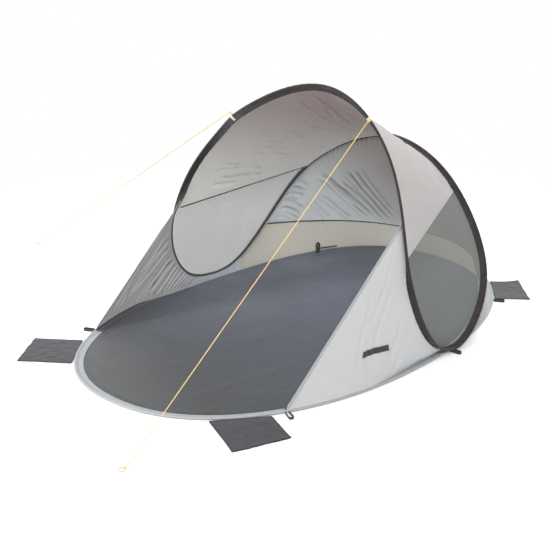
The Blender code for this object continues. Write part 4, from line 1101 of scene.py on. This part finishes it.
# wings: cloth from the front legs down to the hem
wing = {"across": 180, "along": 140, "cut": (0.80, 0.52), "area": {1: 0.17, -1: 0.126},
        "folds": {1: 5, -1: 9}, "depth": {1: 0.0028, -1: 0.0030}, "sharpness": {1: 0.0, -1: 0.35},
        "creaseWidth": {1: 0.013, -1: 0.0085}, "creaseDepth": {1: 0.0050, -1: 0.0110}, "fade": 0.008,
        "crumples": [(0.0008, 0.12, 52, (1.0, 1.0, 1.0))],
        "puckers": {"first": (0.0016, 0.020, 0.022, 54), "last": (0.0012, 0.017, 0.014, 56)},
        "channelTop": 0.0100, "channelSlope": 0.012, "stitchLift": 0.0006,
        "bindingWidth": 0.009, "bindingHeight": 0.0024, "bindingStep": 0.004, "bindingWaver": 0.12}
wingCreases = {
    1: [((0.05, 0.30), (0.30, 0.75), 1.0, 0.02), ((0.12, 0.10), (0.34, 0.60), 0.9, -0.02),
        ((0.30, 0.10), (0.45, 0.55), 0.9, 0.03), ((0.45, 0.25), (0.60, 0.80), 0.7, 0.0),
        ((0.20, 0.45), (0.50, 0.95), 0.7, 0.03), ((0.02, 0.05), (0.16, 0.40), 0.8, 0.02),
        ((0.60, 0.05), (0.72, 0.70), 0.6, 0.03)],
    # folds from the leg's curve down to the hem
    -1: [((0.034, 0.110), (0.084, 0.791), 0.7, 0.01), ((0.120, 0.060), (0.140, 0.944), 0.8, -0.01),
         ((0.202, 0.018), (0.210, 0.970), 1.0, 0.01), ((0.277, 0.010), (0.244, 0.833), 0.9, -0.02),
         ((0.328, 0.028), (0.277, 0.780), 1.0, 0.02), ((0.403, 0.028), (0.437, 0.970), 1.1, 0.0),
         ((0.429, 0.010), (0.479, 0.970), 0.8, 0.02), ((0.454, 0.018), (0.520, 0.833), 1.1, -0.02),
         ((0.504, 0.009), (0.588, 0.887), 1.2, 0.02), ((0.546, 0.028), (0.640, 0.801), 0.9, 0.0),
         ((0.580, 0.010), (0.660, 0.755), 1.1, 0.03), ((0.630, 0.010), (0.700, 0.708), 0.9, -0.02),
         ((0.672, 0.010), (0.730, 0.732), 1.1, 0.02), ((0.720, 0.010), (0.760, 0.708), 0.8, 0.0),
         ((0.756, 0.010), (0.790, 0.732), 1.0, 0.03), ((0.800, 0.010), (0.830, 0.708), 0.8, 0.0),
         ((0.840, 0.010), (0.860, 0.708), 0.9, -0.03)],
}


def wingGrid(side):
    stations = np.linspace(0.0, 10.0, wing["across"])
    leg = hoopSeam(side, 9 + stations, sleeve["tuck"])
    reach = wingReach(stations / 10)[:, None]
    slope = np.minimum(1.0, (reach - tent["sleeveRadius"]) / wing["channelSlope"])
    level = mix(wing["channelTop"], panel["footLevel"], slope)
    floor = floorSeam(side, 10 + stations, reach, level)
    return ruledGrid(leg, floor, wing["along"])


def foldField(grid, folds, depth, seed, sharpness=0.0):
    rows, columns = grid.shape[:2]
    u = np.linspace(0, 1, rows)[:, None]
    v = np.linspace(0, 1, columns)[None]
    lengths = np.linalg.norm(grid[:, -1] - grid[:, 0], axis=1)[:, None]
    fade = (lengths / lengths.max()) ** 1.5
    drift = 0.05 * wander(v, 1.4, seed)
    wave = np.sin(2 * np.pi * folds * (u + drift))
    swell = 0.5 + 0.5 * wander(v, 1.0, seed + 1)
    wave += 0.45 * np.sin(2 * np.pi * folds * 1.7 * (u + 0.6 * drift) + 1.3) * swell
    wave += 0.25 * np.sin(2 * np.pi * folds * 2.9 * (u - drift) + 0.4)
    if sharpness:
        wave = wave + sharpness * (np.abs(wave) - 0.5)
    body = np.sin(np.pi * u) ** 0.6 * np.sin(np.pi * v) ** 0.55
    return depth * wave * fade * body


def makeWing(side):
    name = sideNames[side]
    base = wingGrid(side)
    field = foldField(base, wing["folds"][side], wing["depth"][side], 50 + side, wing["sharpness"][side])
    field += creases(base, wingCreases[side], wing["creaseWidth"][side], wing["creaseDepth"][side])
    field += crumpled(base, wing["crumples"], side) + seamPuckers(base, wing["puckers"], side)
    field *= edgeFade(base, wing["fade"])
    grid = raised(base, field)
    binding = makeWingBinding(side, base)
    foot = base[:, -1] + (base[:, -4] - base[:, -1]) * 1.2
    outward = gridNormals(base)[:, -4] * outwardSign(base, gridNormals(base))
    row = stitchPart(foot + outward * wing["stitchLift"], outward, stitch)
    thread = makePiece("wing_stitches_" + name, [row], [cloth["lightThread"]], sharp=80)
    clothPanel("wing_cloth_" + name, "wing_" + name, grid, "wingOutside", "wingInside")
    return grid


def makeWingBinding(side, base):
    name = sideNames[side]
    edge = evenly(base[0], wing["bindingStep"])[:-2]
    along = unit(np.gradient(edge, axis=0))
    inside = base[1][np.linspace(0, base.shape[1] - 1, len(edge)).astype(int)] - edge
    across = squareTo(inside, along)
    through = np.cross(along, across)
    wide, high = wing["bindingWidth"], wing["bindingHeight"]
    turn = np.radians(np.linspace(90, 270, 7))
    nose = [(high / 2 * math.cos(a), high / 2 * math.sin(a)) for a in turn]
    flat = [(wide * 0.45, -high * 0.42), (wide * 0.85, -high * 0.40), (wide, -high * 0.25),
            (wide, high * 0.25), (wide * 0.85, high * 0.40), (wide * 0.45, high * 0.42)]
    flat = np.array(nose + flat) - np.array([wide * 0.35, 0])
    profile = repeated(flat, len(edge))
    run = np.arange(len(edge)) * wing["bindingStep"]
    profile[..., 1] *= (1 + wing["bindingWaver"] * wander(run, 0.05, 61 + side))[:, None]
    parts = sweepPart(edge, across, through, profile)
    sewn = edge + across * wide * 0.38
    rows = [stitchPart(sewn + through * sign * high * 0.42, through * sign, stitch, 1) for sign in (1, -1)]
    piece = makePiece("wing_edge_" + name, parts + rows, [cloth["hem"], cloth["lightThread"]])
    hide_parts("wing_binding_" + name)
    return piece


wingGrids = {side: makeWing(side) for side in (1, -1)}

# corners as shares along the wing and down it: front top, front foot, back top, back foot
patch = {"corners": ((0.231, 0.562), (0.257, 0.607), (0.347, 0.387), (0.381, 0.432)),
         "across": 60, "down": 16, "standOff": 0.0013, "thickness": 0.0008,
         "stitch": {"length": 0.0022, "pitch": 0.0032, "width": 0.0006}, "stitchLift": 0.0005}


def innerRing(field):
    # the values one cell in from the edge, once round
    return np.concatenate([field[2:-2, 1], field[-2, 1:-1], field[-3:1:-1, -2], field[1, -2:0:-1]])


def makePatch():
    source = wingGrids[1]
    normals = gridNormals(source)
    sign = outwardSign(source, normals)
    source = source + normals * sign * patch["standOff"]
    corners = np.array(patch["corners"]).reshape(2, 2, 2)
    s = np.linspace(0, 1, patch["across"])[:, None, None]
    t = np.linspace(0, 1, patch["down"])[None, :, None]
    uv = mix(mix(corners[0, 0], corners[1, 0], s), mix(corners[0, 1], corners[1, 1], s), t)
    uv = uv * (np.array(source.shape[:2]) - 1)
    p, q = np.floor(uv).astype(int).transpose(2, 0, 1)
    a, b = (uv - np.floor(uv)).transpose(2, 0, 1)[..., None]
    grid = mix(mix(source[p, q], source[p + 1, q], a), mix(source[p, q + 1], source[p + 1, q + 1], a), b)
    normals = gridNormals(grid)
    outward = innerRing(normals) * outwardSign(grid, normals)
    row = stitchPart(innerRing(grid) + outward * patch["stitchLift"], outward, patch["stitch"], 1, True)
    piece = makePiece("patch_cloth", [shellPart(grid, patch["thickness"], 0, 0), row],
                      [cloth["patch"], cloth["lightThread"]])
    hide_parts("plain_patch")


makePatch()
print("roof, wings and patch made")

# gussets: the short strips behind the feet
gusset = {"across": 90, "along": 30, "cut": (0.30, 0.05), "area": 0.0055, "fade": 0.006, "narrow": 0.05,
          "crumples": [(0.001, 0.05, 75, (1.0, 1.0, 1.0))],
          "puckers": {"first": (0.0024, 0.016, 0.03, 71), "last": (0.0014, 0.013, 0.015, 73)}}


def makeGusset(side):
    name = sideNames[side]
    stations = np.linspace(0.0, 4.0, gusset["across"])
    leg = hoopSeam(side, 19 + stations, sleeve["tuck"])
    floor = floorSeam(side, 20 + stations, panel["footReach"], panel["footLevel"])
    grid = ruledGrid(leg, floor, gusset["along"])
    field = seamPuckers(grid, gusset["puckers"], side) + crumpled(grid, gusset["crumples"], side)
    field *= edgeFade(grid, gusset["fade"], narrow=gusset["narrow"])
    clothPanel("gusset_cloth_" + name, "gusset_" + name, raised(grid, field), "wingOutside", "gussetInside")


for side in (1, -1):
    makeGusset(side)

# side windows of fine net
window = {"down": 120, "across": 70, "cut": (0.72, 0.50), "area": 0.21, "fade": 0.008, "narrow": 0.06,
          "crumples": [(0.0008, 0.15, 85, (1.0, 1.0, 1.0))], "rearFrom": (0.18, 0.5),
          "lastStation": 8.999,  # at 9 the net would have no width left
          "rearPuckers": {"last": (0.0026, 0.026, 0.045, 81)},
          "frontPuckers": {"first": (0.0014, 0.024, 0.022, 83)}}


def makeWindow(side):
    name = sideNames[side]
    stations = np.linspace(0.0, window["lastStation"], window["down"])
    front = hoopSeam(side, 10 + stations, sleeve["tuck"])
    back = hoopSeam(side, 28 - stations, sleeve["tuck"])
    grid = ruledGrid(front, back, window["across"])
    low = smooth(gridLengths(grid)[0], *window["rearFrom"])
    field = seamPuckers(grid, window["rearPuckers"], side) * low
    field += seamPuckers(grid, window["frontPuckers"], side) + crumpled(grid, window["crumples"], side)
    field *= edgeFade(grid, window["fade"], "nwe", window["narrow"])
    grid = raised(grid, field)
    piece = makePiece("window_net_" + name, [sheetPart(grid)], [sideNet], closed=False)
    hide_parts("side_mesh_" + name)
    report("window_net_" + name, grid)


for side in (1, -1):
    makeWindow(side)

# back wall: one cloth above the rear seam and a duller strip below it
backWall = {"across": 460, "down": 90, "cut": (1.52, 0.60), "area": 0.52, "folds": 6, "depth": 0.00105,
            "creaseWidth": 0.0125, "creaseDepth": 0.0095, "fade": 0.008, "narrow": 0.07,
            "crumples": [(0.0010, 0.13, 96, (1.0, 1.0, 1.0))],
            "puckers": {"first": (0.0030, 0.021, 0.035, 95), "last": (0.0010, 0.019, 0.016, 97)}}
wallStrip = {"down": 44, "cut": (1.75, 0.24), "area": 0.34, "fade": 0.006, "narrow": 0.05,
             "crumples": [(0.0010, 0.16, 92, (1.0, 1.0, 1.0))],
             "puckers": {"first": (0.0012, 0.022, 0.03, 91), "last": (0.0010, 0.020, 0.02, 93)}}
backCreases = [
    # the fan of folds from the right end of the rear seam
    ((0.850, 0.220), (0.668, 0.932), 1.0, 0.02), ((0.743, 0.305), (0.611, 0.966), 1.1, -0.01),
    ((0.712, 0.288), (0.580, 0.949), 0.9, 0.02), ((0.805, 0.424), (0.690, 0.949), 0.7, 0.02),
    ((0.779, 0.407), (0.633, 0.966), 1.0, -0.02), ((0.850, 0.576), (0.748, 0.983), 0.6, 0.02),
    ((0.677, 0.305), (0.575, 0.847), 0.8, 0.02), ((0.898, 0.593), (0.823, 0.983), 0.4, 0.0),
    ((0.819, 0.339), (0.739, 0.678), 0.6, -0.02),
    # short crinkles square to the left end of the arch
    ((0.934, 0.068), (0.903, 0.390), 0.6, 0.03), ((0.942, 0.136), (0.907, 0.508), 0.7, -0.03),
    ((0.969, 0.288), (0.916, 0.898), 0.6, 0.02), ((0.969, 0.441), (0.925, 0.960), 0.7, 0.0),
    ((0.956, 0.220), (0.907, 0.763), 0.7, 0.03), ((0.920, 0.085), (0.894, 0.373), 0.5, -0.03),
    ((0.980, 0.700), (0.942, 0.881), 0.5, 0.0),
]


def rearRulings(count):
    k = np.linspace(0.0, 30.0, count)
    right = k <= 15
    top = np.where(right[:, None], hoopSeam(1, np.minimum(23 + k, 38), sleeve["tuck"]),
                   hoopSeam(-1, np.minimum(53 - k, 38), sleeve["tuck"]))
    foot = np.where(right[:, None],
                    floorSeam(1, np.minimum(24 + k, 39), panel["footReach"], panel["footLevel"]),
                    floorSeam(-1, np.minimum(54 - k, 39), panel["footReach"], panel["footLevel"]))
    return top, foot


def makeBackWall():
    top, foot = rearRulings(backWall["across"])
    # the seam lies in a plane that falls towards the back
    topOver, footOver = (row[:, 2] + tent["rearSeamFall"] * row[:, 1] - tent["rearSeamHeight"]
                         for row in (top, foot))
    share = np.clip(topOver / (topOver - footOver), 0.0, 1.0)[:, None]
    seam = top + (foot - top) * share
    lower = ruledGrid(seam, foot, wallStrip["down"])
    field = seamPuckers(lower, wallStrip["puckers"]) + crumpled(lower, wallStrip["crumples"])
    field *= edgeFade(lower, wallStrip["fade"], "we", wallStrip["narrow"])
    clothPanel("strip_cloth", "back_strip", raised(lower, field), "wingOutside", "stripInside")
    high = np.nonzero(topOver > 0)[0]
    above = slice(high[0], high[-1] + 1)
    upper = ruledGrid(top[above], seam[above], backWall["down"])
    field = creases(upper, backCreases, backWall["creaseWidth"], backWall["creaseDepth"])
    field += foldField(upper, backWall["folds"], backWall["depth"], 94)
    field += seamPuckers(upper, backWall["puckers"]) + crumpled(upper, backWall["crumples"])
    field *= edgeFade(upper, backWall["fade"], "we", backWall["narrow"])
    clothPanel("back_cloth", "back_panel", raised(upper, field), "wingOutside", "backInside")
    return seam[above], upper


rearSeam, backGrid = makeBackWall()
print("gussets, windows and back wall made")

# tapes over the inside of the seams
tape = {"width": 0.0075, "height": 0.0010, "standOff": 0.0013, "step": 0.004,
        "waver": 0.0003, "widthWaver": 0.06, "stitchRows": (0.6, -0.6)}


def makeTape(name, nodeName, line, across, inside, seed):
    run = runOf(line)
    w, h = tape["width"] / 2, tape["height"] / 2
    flat = np.array([(-1, 0), (-0.92, -1), (-0.5, -0.8), (0, -1), (0.5, -0.8), (0.92, -1),
                     (1, 0), (0.92, 1), (0.5, 0.8), (0, 1.3), (-0.5, 0.8), (-0.92, 1)])
    profile = repeated(flat * np.array([w, h]), len(line))
    profile[..., 1] += (tape["waver"] * wander(run, 0.03, seed))[:, None]
    profile[..., 0] *= (1 + tape["widthWaver"] * wander(run, 0.08, seed + 1))[:, None]
    parts = sweepPart(line + inside * tape["standOff"], across, inside, profile)
    rows = []
    for place in tape["stitchRows"]:
        row = line + inside * (tape["standOff"] + h) + across * w * place
        rows.append(stitchPart(row, inside, stitch, 1))
    piece = makePiece(name, parts + rows, [cloth["tape"], cloth["darkThread"]])
    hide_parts(nodeName)


def makeTapes():
    for side, row, beside in ((1, roofGrid[-1], roofGrid[-3]), (-1, roofGrid[0], roofGrid[2])):
        name = sideNames[side]
        line = evenly(np.array([row[0], row[-1]]), tape["step"])[4:-4]
        along = unit(line[-1] - line[0])
        near = sampled(np.linspace(0, 1, len(line)), np.linspace(0, 1, len(beside)), beside)
        across = squareTo(unit(near - line), along)
        inside = np.cross(along, across)
        if inside[:, 0].mean() * side > 0:
            inside = -inside
        makeTape("side_tape_" + name, "seam_tape_" + name, line, across, inside, 101 + side)
    line = rearSeam[2:-2]
    along = unit(np.gradient(line, axis=0))
    above = backGrid[2:-2, -6] - line
    across = squareTo(above, along)
    inside = np.cross(along, across)
    if inside[:, 1].mean() > 0:
        inside = -inside
    makeTape("rear_tape", "seam_tape_rear", line, across, inside, 104)


makeTapes()
print("tapes made")


def edgeAt(y, side):
    edge, inward = outlineFrames(outlineAngle(y), side)
    return edge[0], inward[0]


# closing strap along the foot of the back wall, and the ring standing at its end
strap = {"width": 0.008, "thickness": 0.0015, "height": 0.014, "standOff": 0.0024, "span": (0.369, 0.460),
         "stations": 60, "bow": 0.0012, "rib": 0.15, "ribRate": 210, "stitchLift": 0.0002}
ring = {"place": 0.345, "reach": 0.030, "height": 0.052, "width": 0.026, "thickness": 0.0090, "level": 0.0018,
        "waist": 0.55, "relief": 0.06}


def wallFoot(shares):
    k = np.atleast_1d(shares) * 15
    foot = floorSeam(-1, 24 + k, panel["footReach"], panel["footLevel"])
    top = hoopSeam(-1, 23 + k, tent["sleeveWidth"])
    ahead = floorSeam(-1, 24.2 + k, panel["footReach"], panel["footLevel"])
    along = unit(ahead - foot)
    rise = squareTo(top - foot, along)
    return foot, rise, along, np.cross(along, rise)


def makeClosingStrap():
    foot, rise, along, inside = wallFoot(np.linspace(*strap["span"], strap["stations"]))
    run = np.linspace(0, 1, strap["stations"])
    line = foot + rise * strap["height"] + inside * strap["standOff"]
    line = line + inside * (strap["bow"] * np.sin(np.pi * run) ** 2)[:, None]
    w, t = strap["width"] / 2, strap["thickness"] / 2
    flat = np.array([(-1, -0.5), (-0.9, -1), (0, -1), (0.9, -1), (1, -0.5),
                     (1, 0.5), (0.9, 1), (0, 1), (-0.9, 1), (-1, 0.5)])
    profile = repeated(flat * np.array([w, t]), len(line))
    profile[..., 1] *= (1 + strap["rib"] * np.sin(run * strap["ribRate"]))[:, None]
    parts = sweepPart(line, rise, inside, profile)
    sewn = line + inside * (t + strap["stitchLift"])
    rows = [stitchPart((sewn + rise * w * share)[-8:-1], inside[-8:-1], stitch, 1) for share in (-0.5, 0.5)]
    piece = makePiece("wall_strap", parts + rows, [cloth["webbing"], cloth["darkThread"]], sharp=60)
    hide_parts("closing_strap")


def makeClosingRing():
    foot, _, along, inside = [found[0] for found in wallFoot(ring["place"])]
    level = unit(inside * np.array([1.0, 1.0, 0.0]))
    radius = ring["thickness"] / 2
    centre = foot + level * ring["reach"]
    centre[2] = ring["level"] + ring["height"] / 2
    turn = np.linspace(0, 2 * np.pi, 72, endpoint=False)
    # the band is drawn together a little at its middle
    waist = 1 - ring["waist"] * np.exp(-((np.sin(turn) + 0.10) / 0.3) ** 2)
    tall, wide = ring["height"] / 2 - radius, ring["width"] / 2 - radius
    path = centre + along * (wide * waist * np.cos(turn))[:, None] + up * (tall * np.sin(turn))[:, None]
    parts = ropePart(path, radius, 14, closed=True, relief=ring["relief"])
    piece = makePiece("wall_ring", parts, [cloth["webbing"]])
    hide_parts("closing_ring")


makeClosingStrap()
makeClosingRing()

# peg loops: webbing stood on edge and bent into a loop
loop = {"reach": 0.044, "radius": 0.008, "thickness": 0.0015, "height": 0.009, "gap": 0.0003, "rib": 0.0002,
        "ribPitch": 0.0024, "step": 0.0006, "waist": 0.78, "sewnIn": 0.0010}


def makePegLoop(name, nodeName, y, side, body):
    edge, inward = edgeAt(y, side)
    out = -inward
    along = np.cross(up, out)
    straight = loop["reach"] - loop["radius"]
    r = loop["radius"]
    bend = np.linspace(-np.pi / 2, np.pi / 2, 30)
    path = [(loop["sewnIn"], -r * loop["waist"]), (straight * 0.5, -r * 0.92)]
    path += [(straight + r * math.cos(a), r * math.sin(a)) for a in bend]
    path += [(straight * 0.5, r * 0.92), (loop["sewnIn"], r * loop["waist"])]
    points = np.array([edge + out * a + along * b + up * (loop["height"] / 2 + loop["gap"]) for a, b in path])
    points = evenly(points, loop["step"])
    way = unit(np.gradient(points, axis=0))
    across = np.cross(way, up)
    run = np.arange(len(points)) * loop["step"]
    t, h = loop["thickness"] / 2, loop["height"] / 2
    half = [(-0.6, -1), (0.6, -1), (1, -0.86), (1, -0.45), (1, 0), (1, 0.45), (1, 0.86)]
    flat = np.array(half + [(-a, -b) for a, b in half])
    profile = repeated(flat * np.array([t, h]), len(points))
    profile[..., 0] *= (1 + loop["rib"] / t * np.sin(2 * np.pi * run / loop["ribPitch"]))[:, None]
    piece = makePiece(name, sweepPart(points, across, up, profile), [cloth["webbing"]], body, sharp=60)
    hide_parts(nodeName)


def makePegLoops():
    for side in (1, -1):
        name = sideNames[side]
        footY = float(floorSeam(side, np.array([20.0]), panel["footReach"], 0.0)[0, 1])
        makePegLoop("front_loop_" + name, "peg_loop_front_" + name, stops["pegCorner"] * tent["halfLength"],
                    side, "front_" + name + "_loop")
        makePegLoop("side_loop_" + name, "peg_loop_side_" + name, footY, side, "tent")
        makePegLoop("back_loop_" + name, "peg_loop_back_" + name, stops["backLoop"] * tent["halfLength"],
                    side, "back_" + name + "_loop")


makePegLoops()

# sand pockets: two plies, bound on three sides, open at the outer edge
pocket = {"width": 0.20, "depth": 0.19, "gap": 0.0006, "ply": 0.0008, "cells": 56,
          "turnedIn": {"back_right": (0.034, 0.008)}, "waver": 0.0022,
          "sewnIn": 0.002, "trim": 0.005, "sideTrim": 0.003, "pinch": 0.012, "pinchWaver": 0.008,
          "crumples": [(0.0007, 0.06, 2, (1.0, 1.0, 1.0)), (0.0005, 0.03, 3, (0.7, 2.2, 1.0))],
          "lowerPly": 0.0009, "upperPly": 0.0032, "puff": 0.0010, "lowerPuff": 0.0002, "puffReach": 0.03,
          "binding": 0.0065, "bindingHeight": 0.0030, "bindingStep": 0.003, "bindingLevel": 0.0024,
          "bindingWaver": 0.0002,
          "stitchLevel": 0.0041, "mouthStitchLevel": 0.0040}
# place along the floor, depth, how far the mouth slips along the hem, how much one side is longer
pocketLays = {
    "front_right": (-0.791, 0.93, 0.24, -0.16), "front_left": (-0.824, 1.00, -0.08, 0.04),
    "back_right": (0.760, 0.78, 0.02, 0.04), "back_left": (0.775, 0.78, -0.02, 0.04),
}


def makePocket(name, side, seed):
    placeShare, depthShare, slip, slant = pocketLays[name]
    edge, inward = edgeAt(placeShare * tent["halfLength"], side)
    out = -inward
    along = np.cross(up, out)
    cells = pocket["cells"]
    o = np.linspace(0.0, 1.0, cells)[:, None] * np.ones((1, cells))
    a = np.linspace(-1.0, 1.0, cells)[None] * np.ones((cells, 1))
    flat = np.stack([o, a], 2)
    half = pocket["width"] / 2
    # the mouth edge wavers
    waver = pocket["waver"] * wander(a[0], 0.9, seed)[None] * smooth(o, 0.4, 1.0)
    depth = pocket["depth"] * depthShare
    reach = pocket["sewnIn"] + o * (depth * (1 + slant * a) - pocket["trim"]) + waver
    pinch = 1 - pocket["pinch"] * np.sin(np.pi * o)
    pinch = pinch + pocket["pinchWaver"] * wander(o[:, 0], 0.7, seed + 1)[:, None]
    wide = a * (half - pocket["sideTrim"]) * pinch + slip * reach
    plan = edge + out * (pocket["gap"] + reach)[..., None] + along * wide[..., None]
    # a pocket's far corner can be drawn in and turned up
    drawnIn, lift = pocket["turnedIn"].get(name, (0.0, 0.0))
    corner = o * (1 + a) / 2
    plan = plan - out * (drawnIn * corner)[..., None] + up * (lift * corner**3)[..., None]
    border = np.minimum(np.minimum(o, 1.2 - o) * depth, (1 - np.abs(a)) * half)
    puff = smooth(border, 0.0, pocket["puffReach"])
    space = np.concatenate([flat * np.array([pocket["depth"], half]), np.zeros((cells, cells, 1))], 2)
    wave = crumpled(space, pocket["crumples"], seed)
    upper = plan + up * (pocket["upperPly"] + (pocket["puff"] + wave) * puff)[..., None]
    lower = plan + up * (pocket["lowerPly"] + pocket["lowerPuff"] * puff)[..., None]
    parts = [shellPart(upper, pocket["ply"], 0, 0), shellPart(lower, pocket["ply"], 0, 0)]
    # binding round the seam edge and the two sides
    line = np.concatenate([plan[::-1, 0], plan[0, 1:-1], plan[:, -1]])
    line = evenly(line, pocket["bindingStep"])
    wide, high = pocket["binding"], pocket["bindingHeight"]
    outline = np.array([(-0.2, -0.5), (0.25, -0.48), (0.55, -0.3), (0.62, 0.0), (0.55, 0.32), (0.25, 0.5),
                        (-0.2, 0.55), (-0.38, 0.4), (-0.38, -0.4)]) * np.array([wide, high])
    turned = np.cross(unit(np.gradient(line, axis=0)), up)
    across = turned * np.sign(np.sum(turned * (line - plan.mean((0, 1))), 1))[:, None]
    profile = repeated(outline + np.array([0.0, pocket["bindingLevel"]]), len(line))
    run = np.arange(len(line)) * pocket["bindingStep"]
    profile[..., 1] += (pocket["bindingWaver"] * wander(run, 0.04, seed + 5))[:, None]
    parts += sweepPart(line, across, up, profile, slot=1)
    row = stitchPart(line - across * wide * 0.2 + up * pocket["stitchLevel"], up, stitch, 2)
    mouthRow = stitchPart(plan[-3] + up * pocket["mouthStitchLevel"], up, stitch, 2)
    materials = [cloth["pocket"], cloth["binding"], cloth["darkThread"]]
    piece = makePiece("pocket_" + name, parts + [row, mouthRow], materials, name + "_pocket")
    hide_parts("sand_pocket_" + name)


for k, name in enumerate(pocketLays):
    makePocket(name, 1 if "right" in name else -1, 120 + 10 * k)
print("peg loops and sand pockets made")

# guy tabs: cream webbing folded over the sleeve
tab = {"length": 0.014, "wall": 0.0012, "clearance": 0.0006, "nose": 0.008, "overlap": 0.016,
       "step": 0.0012, "stitchRows": (0.0142, 0.0095)}


def makeTab(side):
    name = sideNames[side]
    share = stops["rightGuy"] if side > 0 else 1.0 - stops["leftGuy"]
    span = np.linspace(-tab["length"] / 2, tab["length"] / 2, 26)
    centre, inward, through, along = [a[0] for a in hoopFrames(share)]
    r = tent["sleeveRadius"] + tab["clearance"] + tab["wall"] / 2
    wall = tab["wall"] / 2
    # the strap's middle line, from the flange round the wire and back
    upper = [(tab["overlap"], 0.0028), (0.012, 0.0032), (0.0065, 0.0052), (0.0, r + 0.0002),
             (-0.004, r * 0.82), (-0.0085, 0.0022), (-r - tab["nose"] + 0.0012, 0.0008)]
    lower = [(a, -b) for a, b in upper[::-1]]
    fine = evenly(np.array(upper + lower), tab["step"])
    way = unit(np.gradient(fine, axis=0))
    normal = np.stack([way[:, 1], -way[:, 0]], 1)
    outline = np.concatenate([fine + normal * wall, (fine - normal * wall)[::-1]])
    bow = 1 - 0.04 * np.cos(np.pi * span / tab["length"]) ** 2
    profile = outline[None] * np.stack([np.ones_like(bow), bow], 1)[:, None]
    line = centre + along * span[:, None]
    parts = sweepPart(line, inward, through, profile)
    rows = []
    for sign in (1, -1):
        for reach in tab["stitchRows"]:
            high = float(np.interp(reach, *np.array(upper[2::-1]).T)) + wall
            stitched = line[2:-2] + inward * reach + through * sign * high
            rows.append(stitchPart(stitched, through * sign, stitch, 1))
    piece = makePiece("tab_" + name, parts + rows, [cloth["tab"], cloth["lightThread"]])
    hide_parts("guy_tab_" + name)


for side in (1, -1):
    makeTab(side)
print("guy tabs made")

# studio: a pale floor that fades into the white behind it, and soft lamps
studio = {"floorRadius": 14.0, "skyLight": 0.50, "floorColour": 0.84, "floorGlow": 0.20,
          "fadeFrom": 1.3, "fadeTo": 2.6, "floorDrop": 0.0002, "lampAim": (0.0, 0.0, 0.3)}
lamps = {
    "keyLamp": {"place": (3.2, -3.0, 3.4), "size": 1.6, "power": 130.0},
    "mouthLamp": {"place": (-2.2, -4.4, 2.2), "size": 1.6, "power": 170.0},
    "backLamp": {"place": (-1.6, 3.0, 3.4), "size": 2.5, "power": 120.0},
    "topLamp": {"place": (0.6, 0.6, 4.2), "size": 2.0, "power": 40.0},
}


def whiteRays(tree):
    # rays that meet the white background: seen straight, in a gloss or through a clear part
    path = node(tree, "ShaderNodeLightPath")
    seen = math2(tree, "MAXIMUM", path.outputs["Is Camera Ray"], path.outputs["Is Glossy Ray"])
    return math2(tree, "MAXIMUM", seen, path.outputs["Is Transmission Ray"])


def makeStudio():
    world = bpy.data.worlds.new("studio")
    bpy.context.scene.world = world
    world.use_nodes = True
    tree = world.node_tree
    tree.nodes.clear()
    sky = node(tree, "ShaderNodeBackground", Color=(1.0, 1.0, 1.0, 1.0), Strength=studio["skyLight"])
    white = node(tree, "ShaderNodeBackground", Color=(1.0, 1.0, 1.0, 1.0), Strength=1.0)
    output = node(tree, "ShaderNodeOutputWorld")
    feed(tree, output, Surface=mixShaders(tree, whiteRays(tree), sky, white).outputs[0])
    makeStudioFloor()
    for name, lamp in lamps.items():
        data = bpy.data.lights.new(name, "AREA")
        data.shape = "DISK"
        data.size = lamp["size"]
        data.energy = lamp["power"]
        thing = bpy.data.objects.new(name, data)
        bpy.context.scene.collection.objects.link(thing)
        thing.location = lamp["place"]
        aim = Vector(studio["lampAim"]) - Vector(lamp["place"])
        thing.rotation_euler = aim.to_track_quat("-Z", "Y").to_euler()


def makeStudioFloor():
    turn = np.linspace(0, 2 * np.pi, 96, endpoint=False)
    rim = np.stack([np.cos(turn), np.sin(turn), 0 * turn], 1) * studio["floorRadius"]
    rim = rim - up * studio["floorDrop"]
    mesh = bpy.data.meshes.new("studio_floor")
    mesh.from_pydata(rim.tolist(), [], [tuple(range(len(rim)))])
    floor = bpy.data.objects.new("studio_floor", mesh)
    bpy.context.scene.collection.objects.link(floor)
    made, tree, _ = newMaterial("studioFloor")
    tree.nodes.clear()
    grain = node(tree, "ShaderNodeTexNoise", Scale=40.0, Detail=2.0)
    value = studio["floorColour"]
    tone = mixColours(tree, grain.outputs["Fac"], (value, value, value, 1.0), (value * 0.99,) * 3 + (1.0,))
    paper = node(tree, "ShaderNodeBsdfDiffuse")
    feed(tree, paper, Color=tone)
    glow = node(tree, "ShaderNodeEmission", Strength=studio["floorGlow"])
    both = node(tree, "ShaderNodeAddShader")
    tree.links.new(paper.outputs[0], both.inputs[0])
    tree.links.new(glow.outputs[0], both.inputs[1])
    # away from the tent the paper fades into the white behind it
    away = node(tree, "ShaderNodeVectorMath", {"operation": "LENGTH"})
    tree.links.new(node(tree, "ShaderNodeTexCoord").outputs["Object"], away.inputs[0])
    fade = mapRange(tree, away.outputs["Value"], studio["fadeFrom"], studio["fadeTo"], 0.0, 1.0, "SMOOTHSTEP")
    faded = mixShaders(tree, fade, both, node(tree, "ShaderNodeEmission", Strength=1.0))
    blended = mixShaders(tree, whiteRays(tree), paper, faded)
    output = node(tree, "ShaderNodeOutputMaterial")
    feed(tree, output, Surface=blended.outputs[0])
    mesh.materials.append(made)


makeStudio()
bpy.context.scene.view_settings.view_transform = "Standard"
print("studio lit")
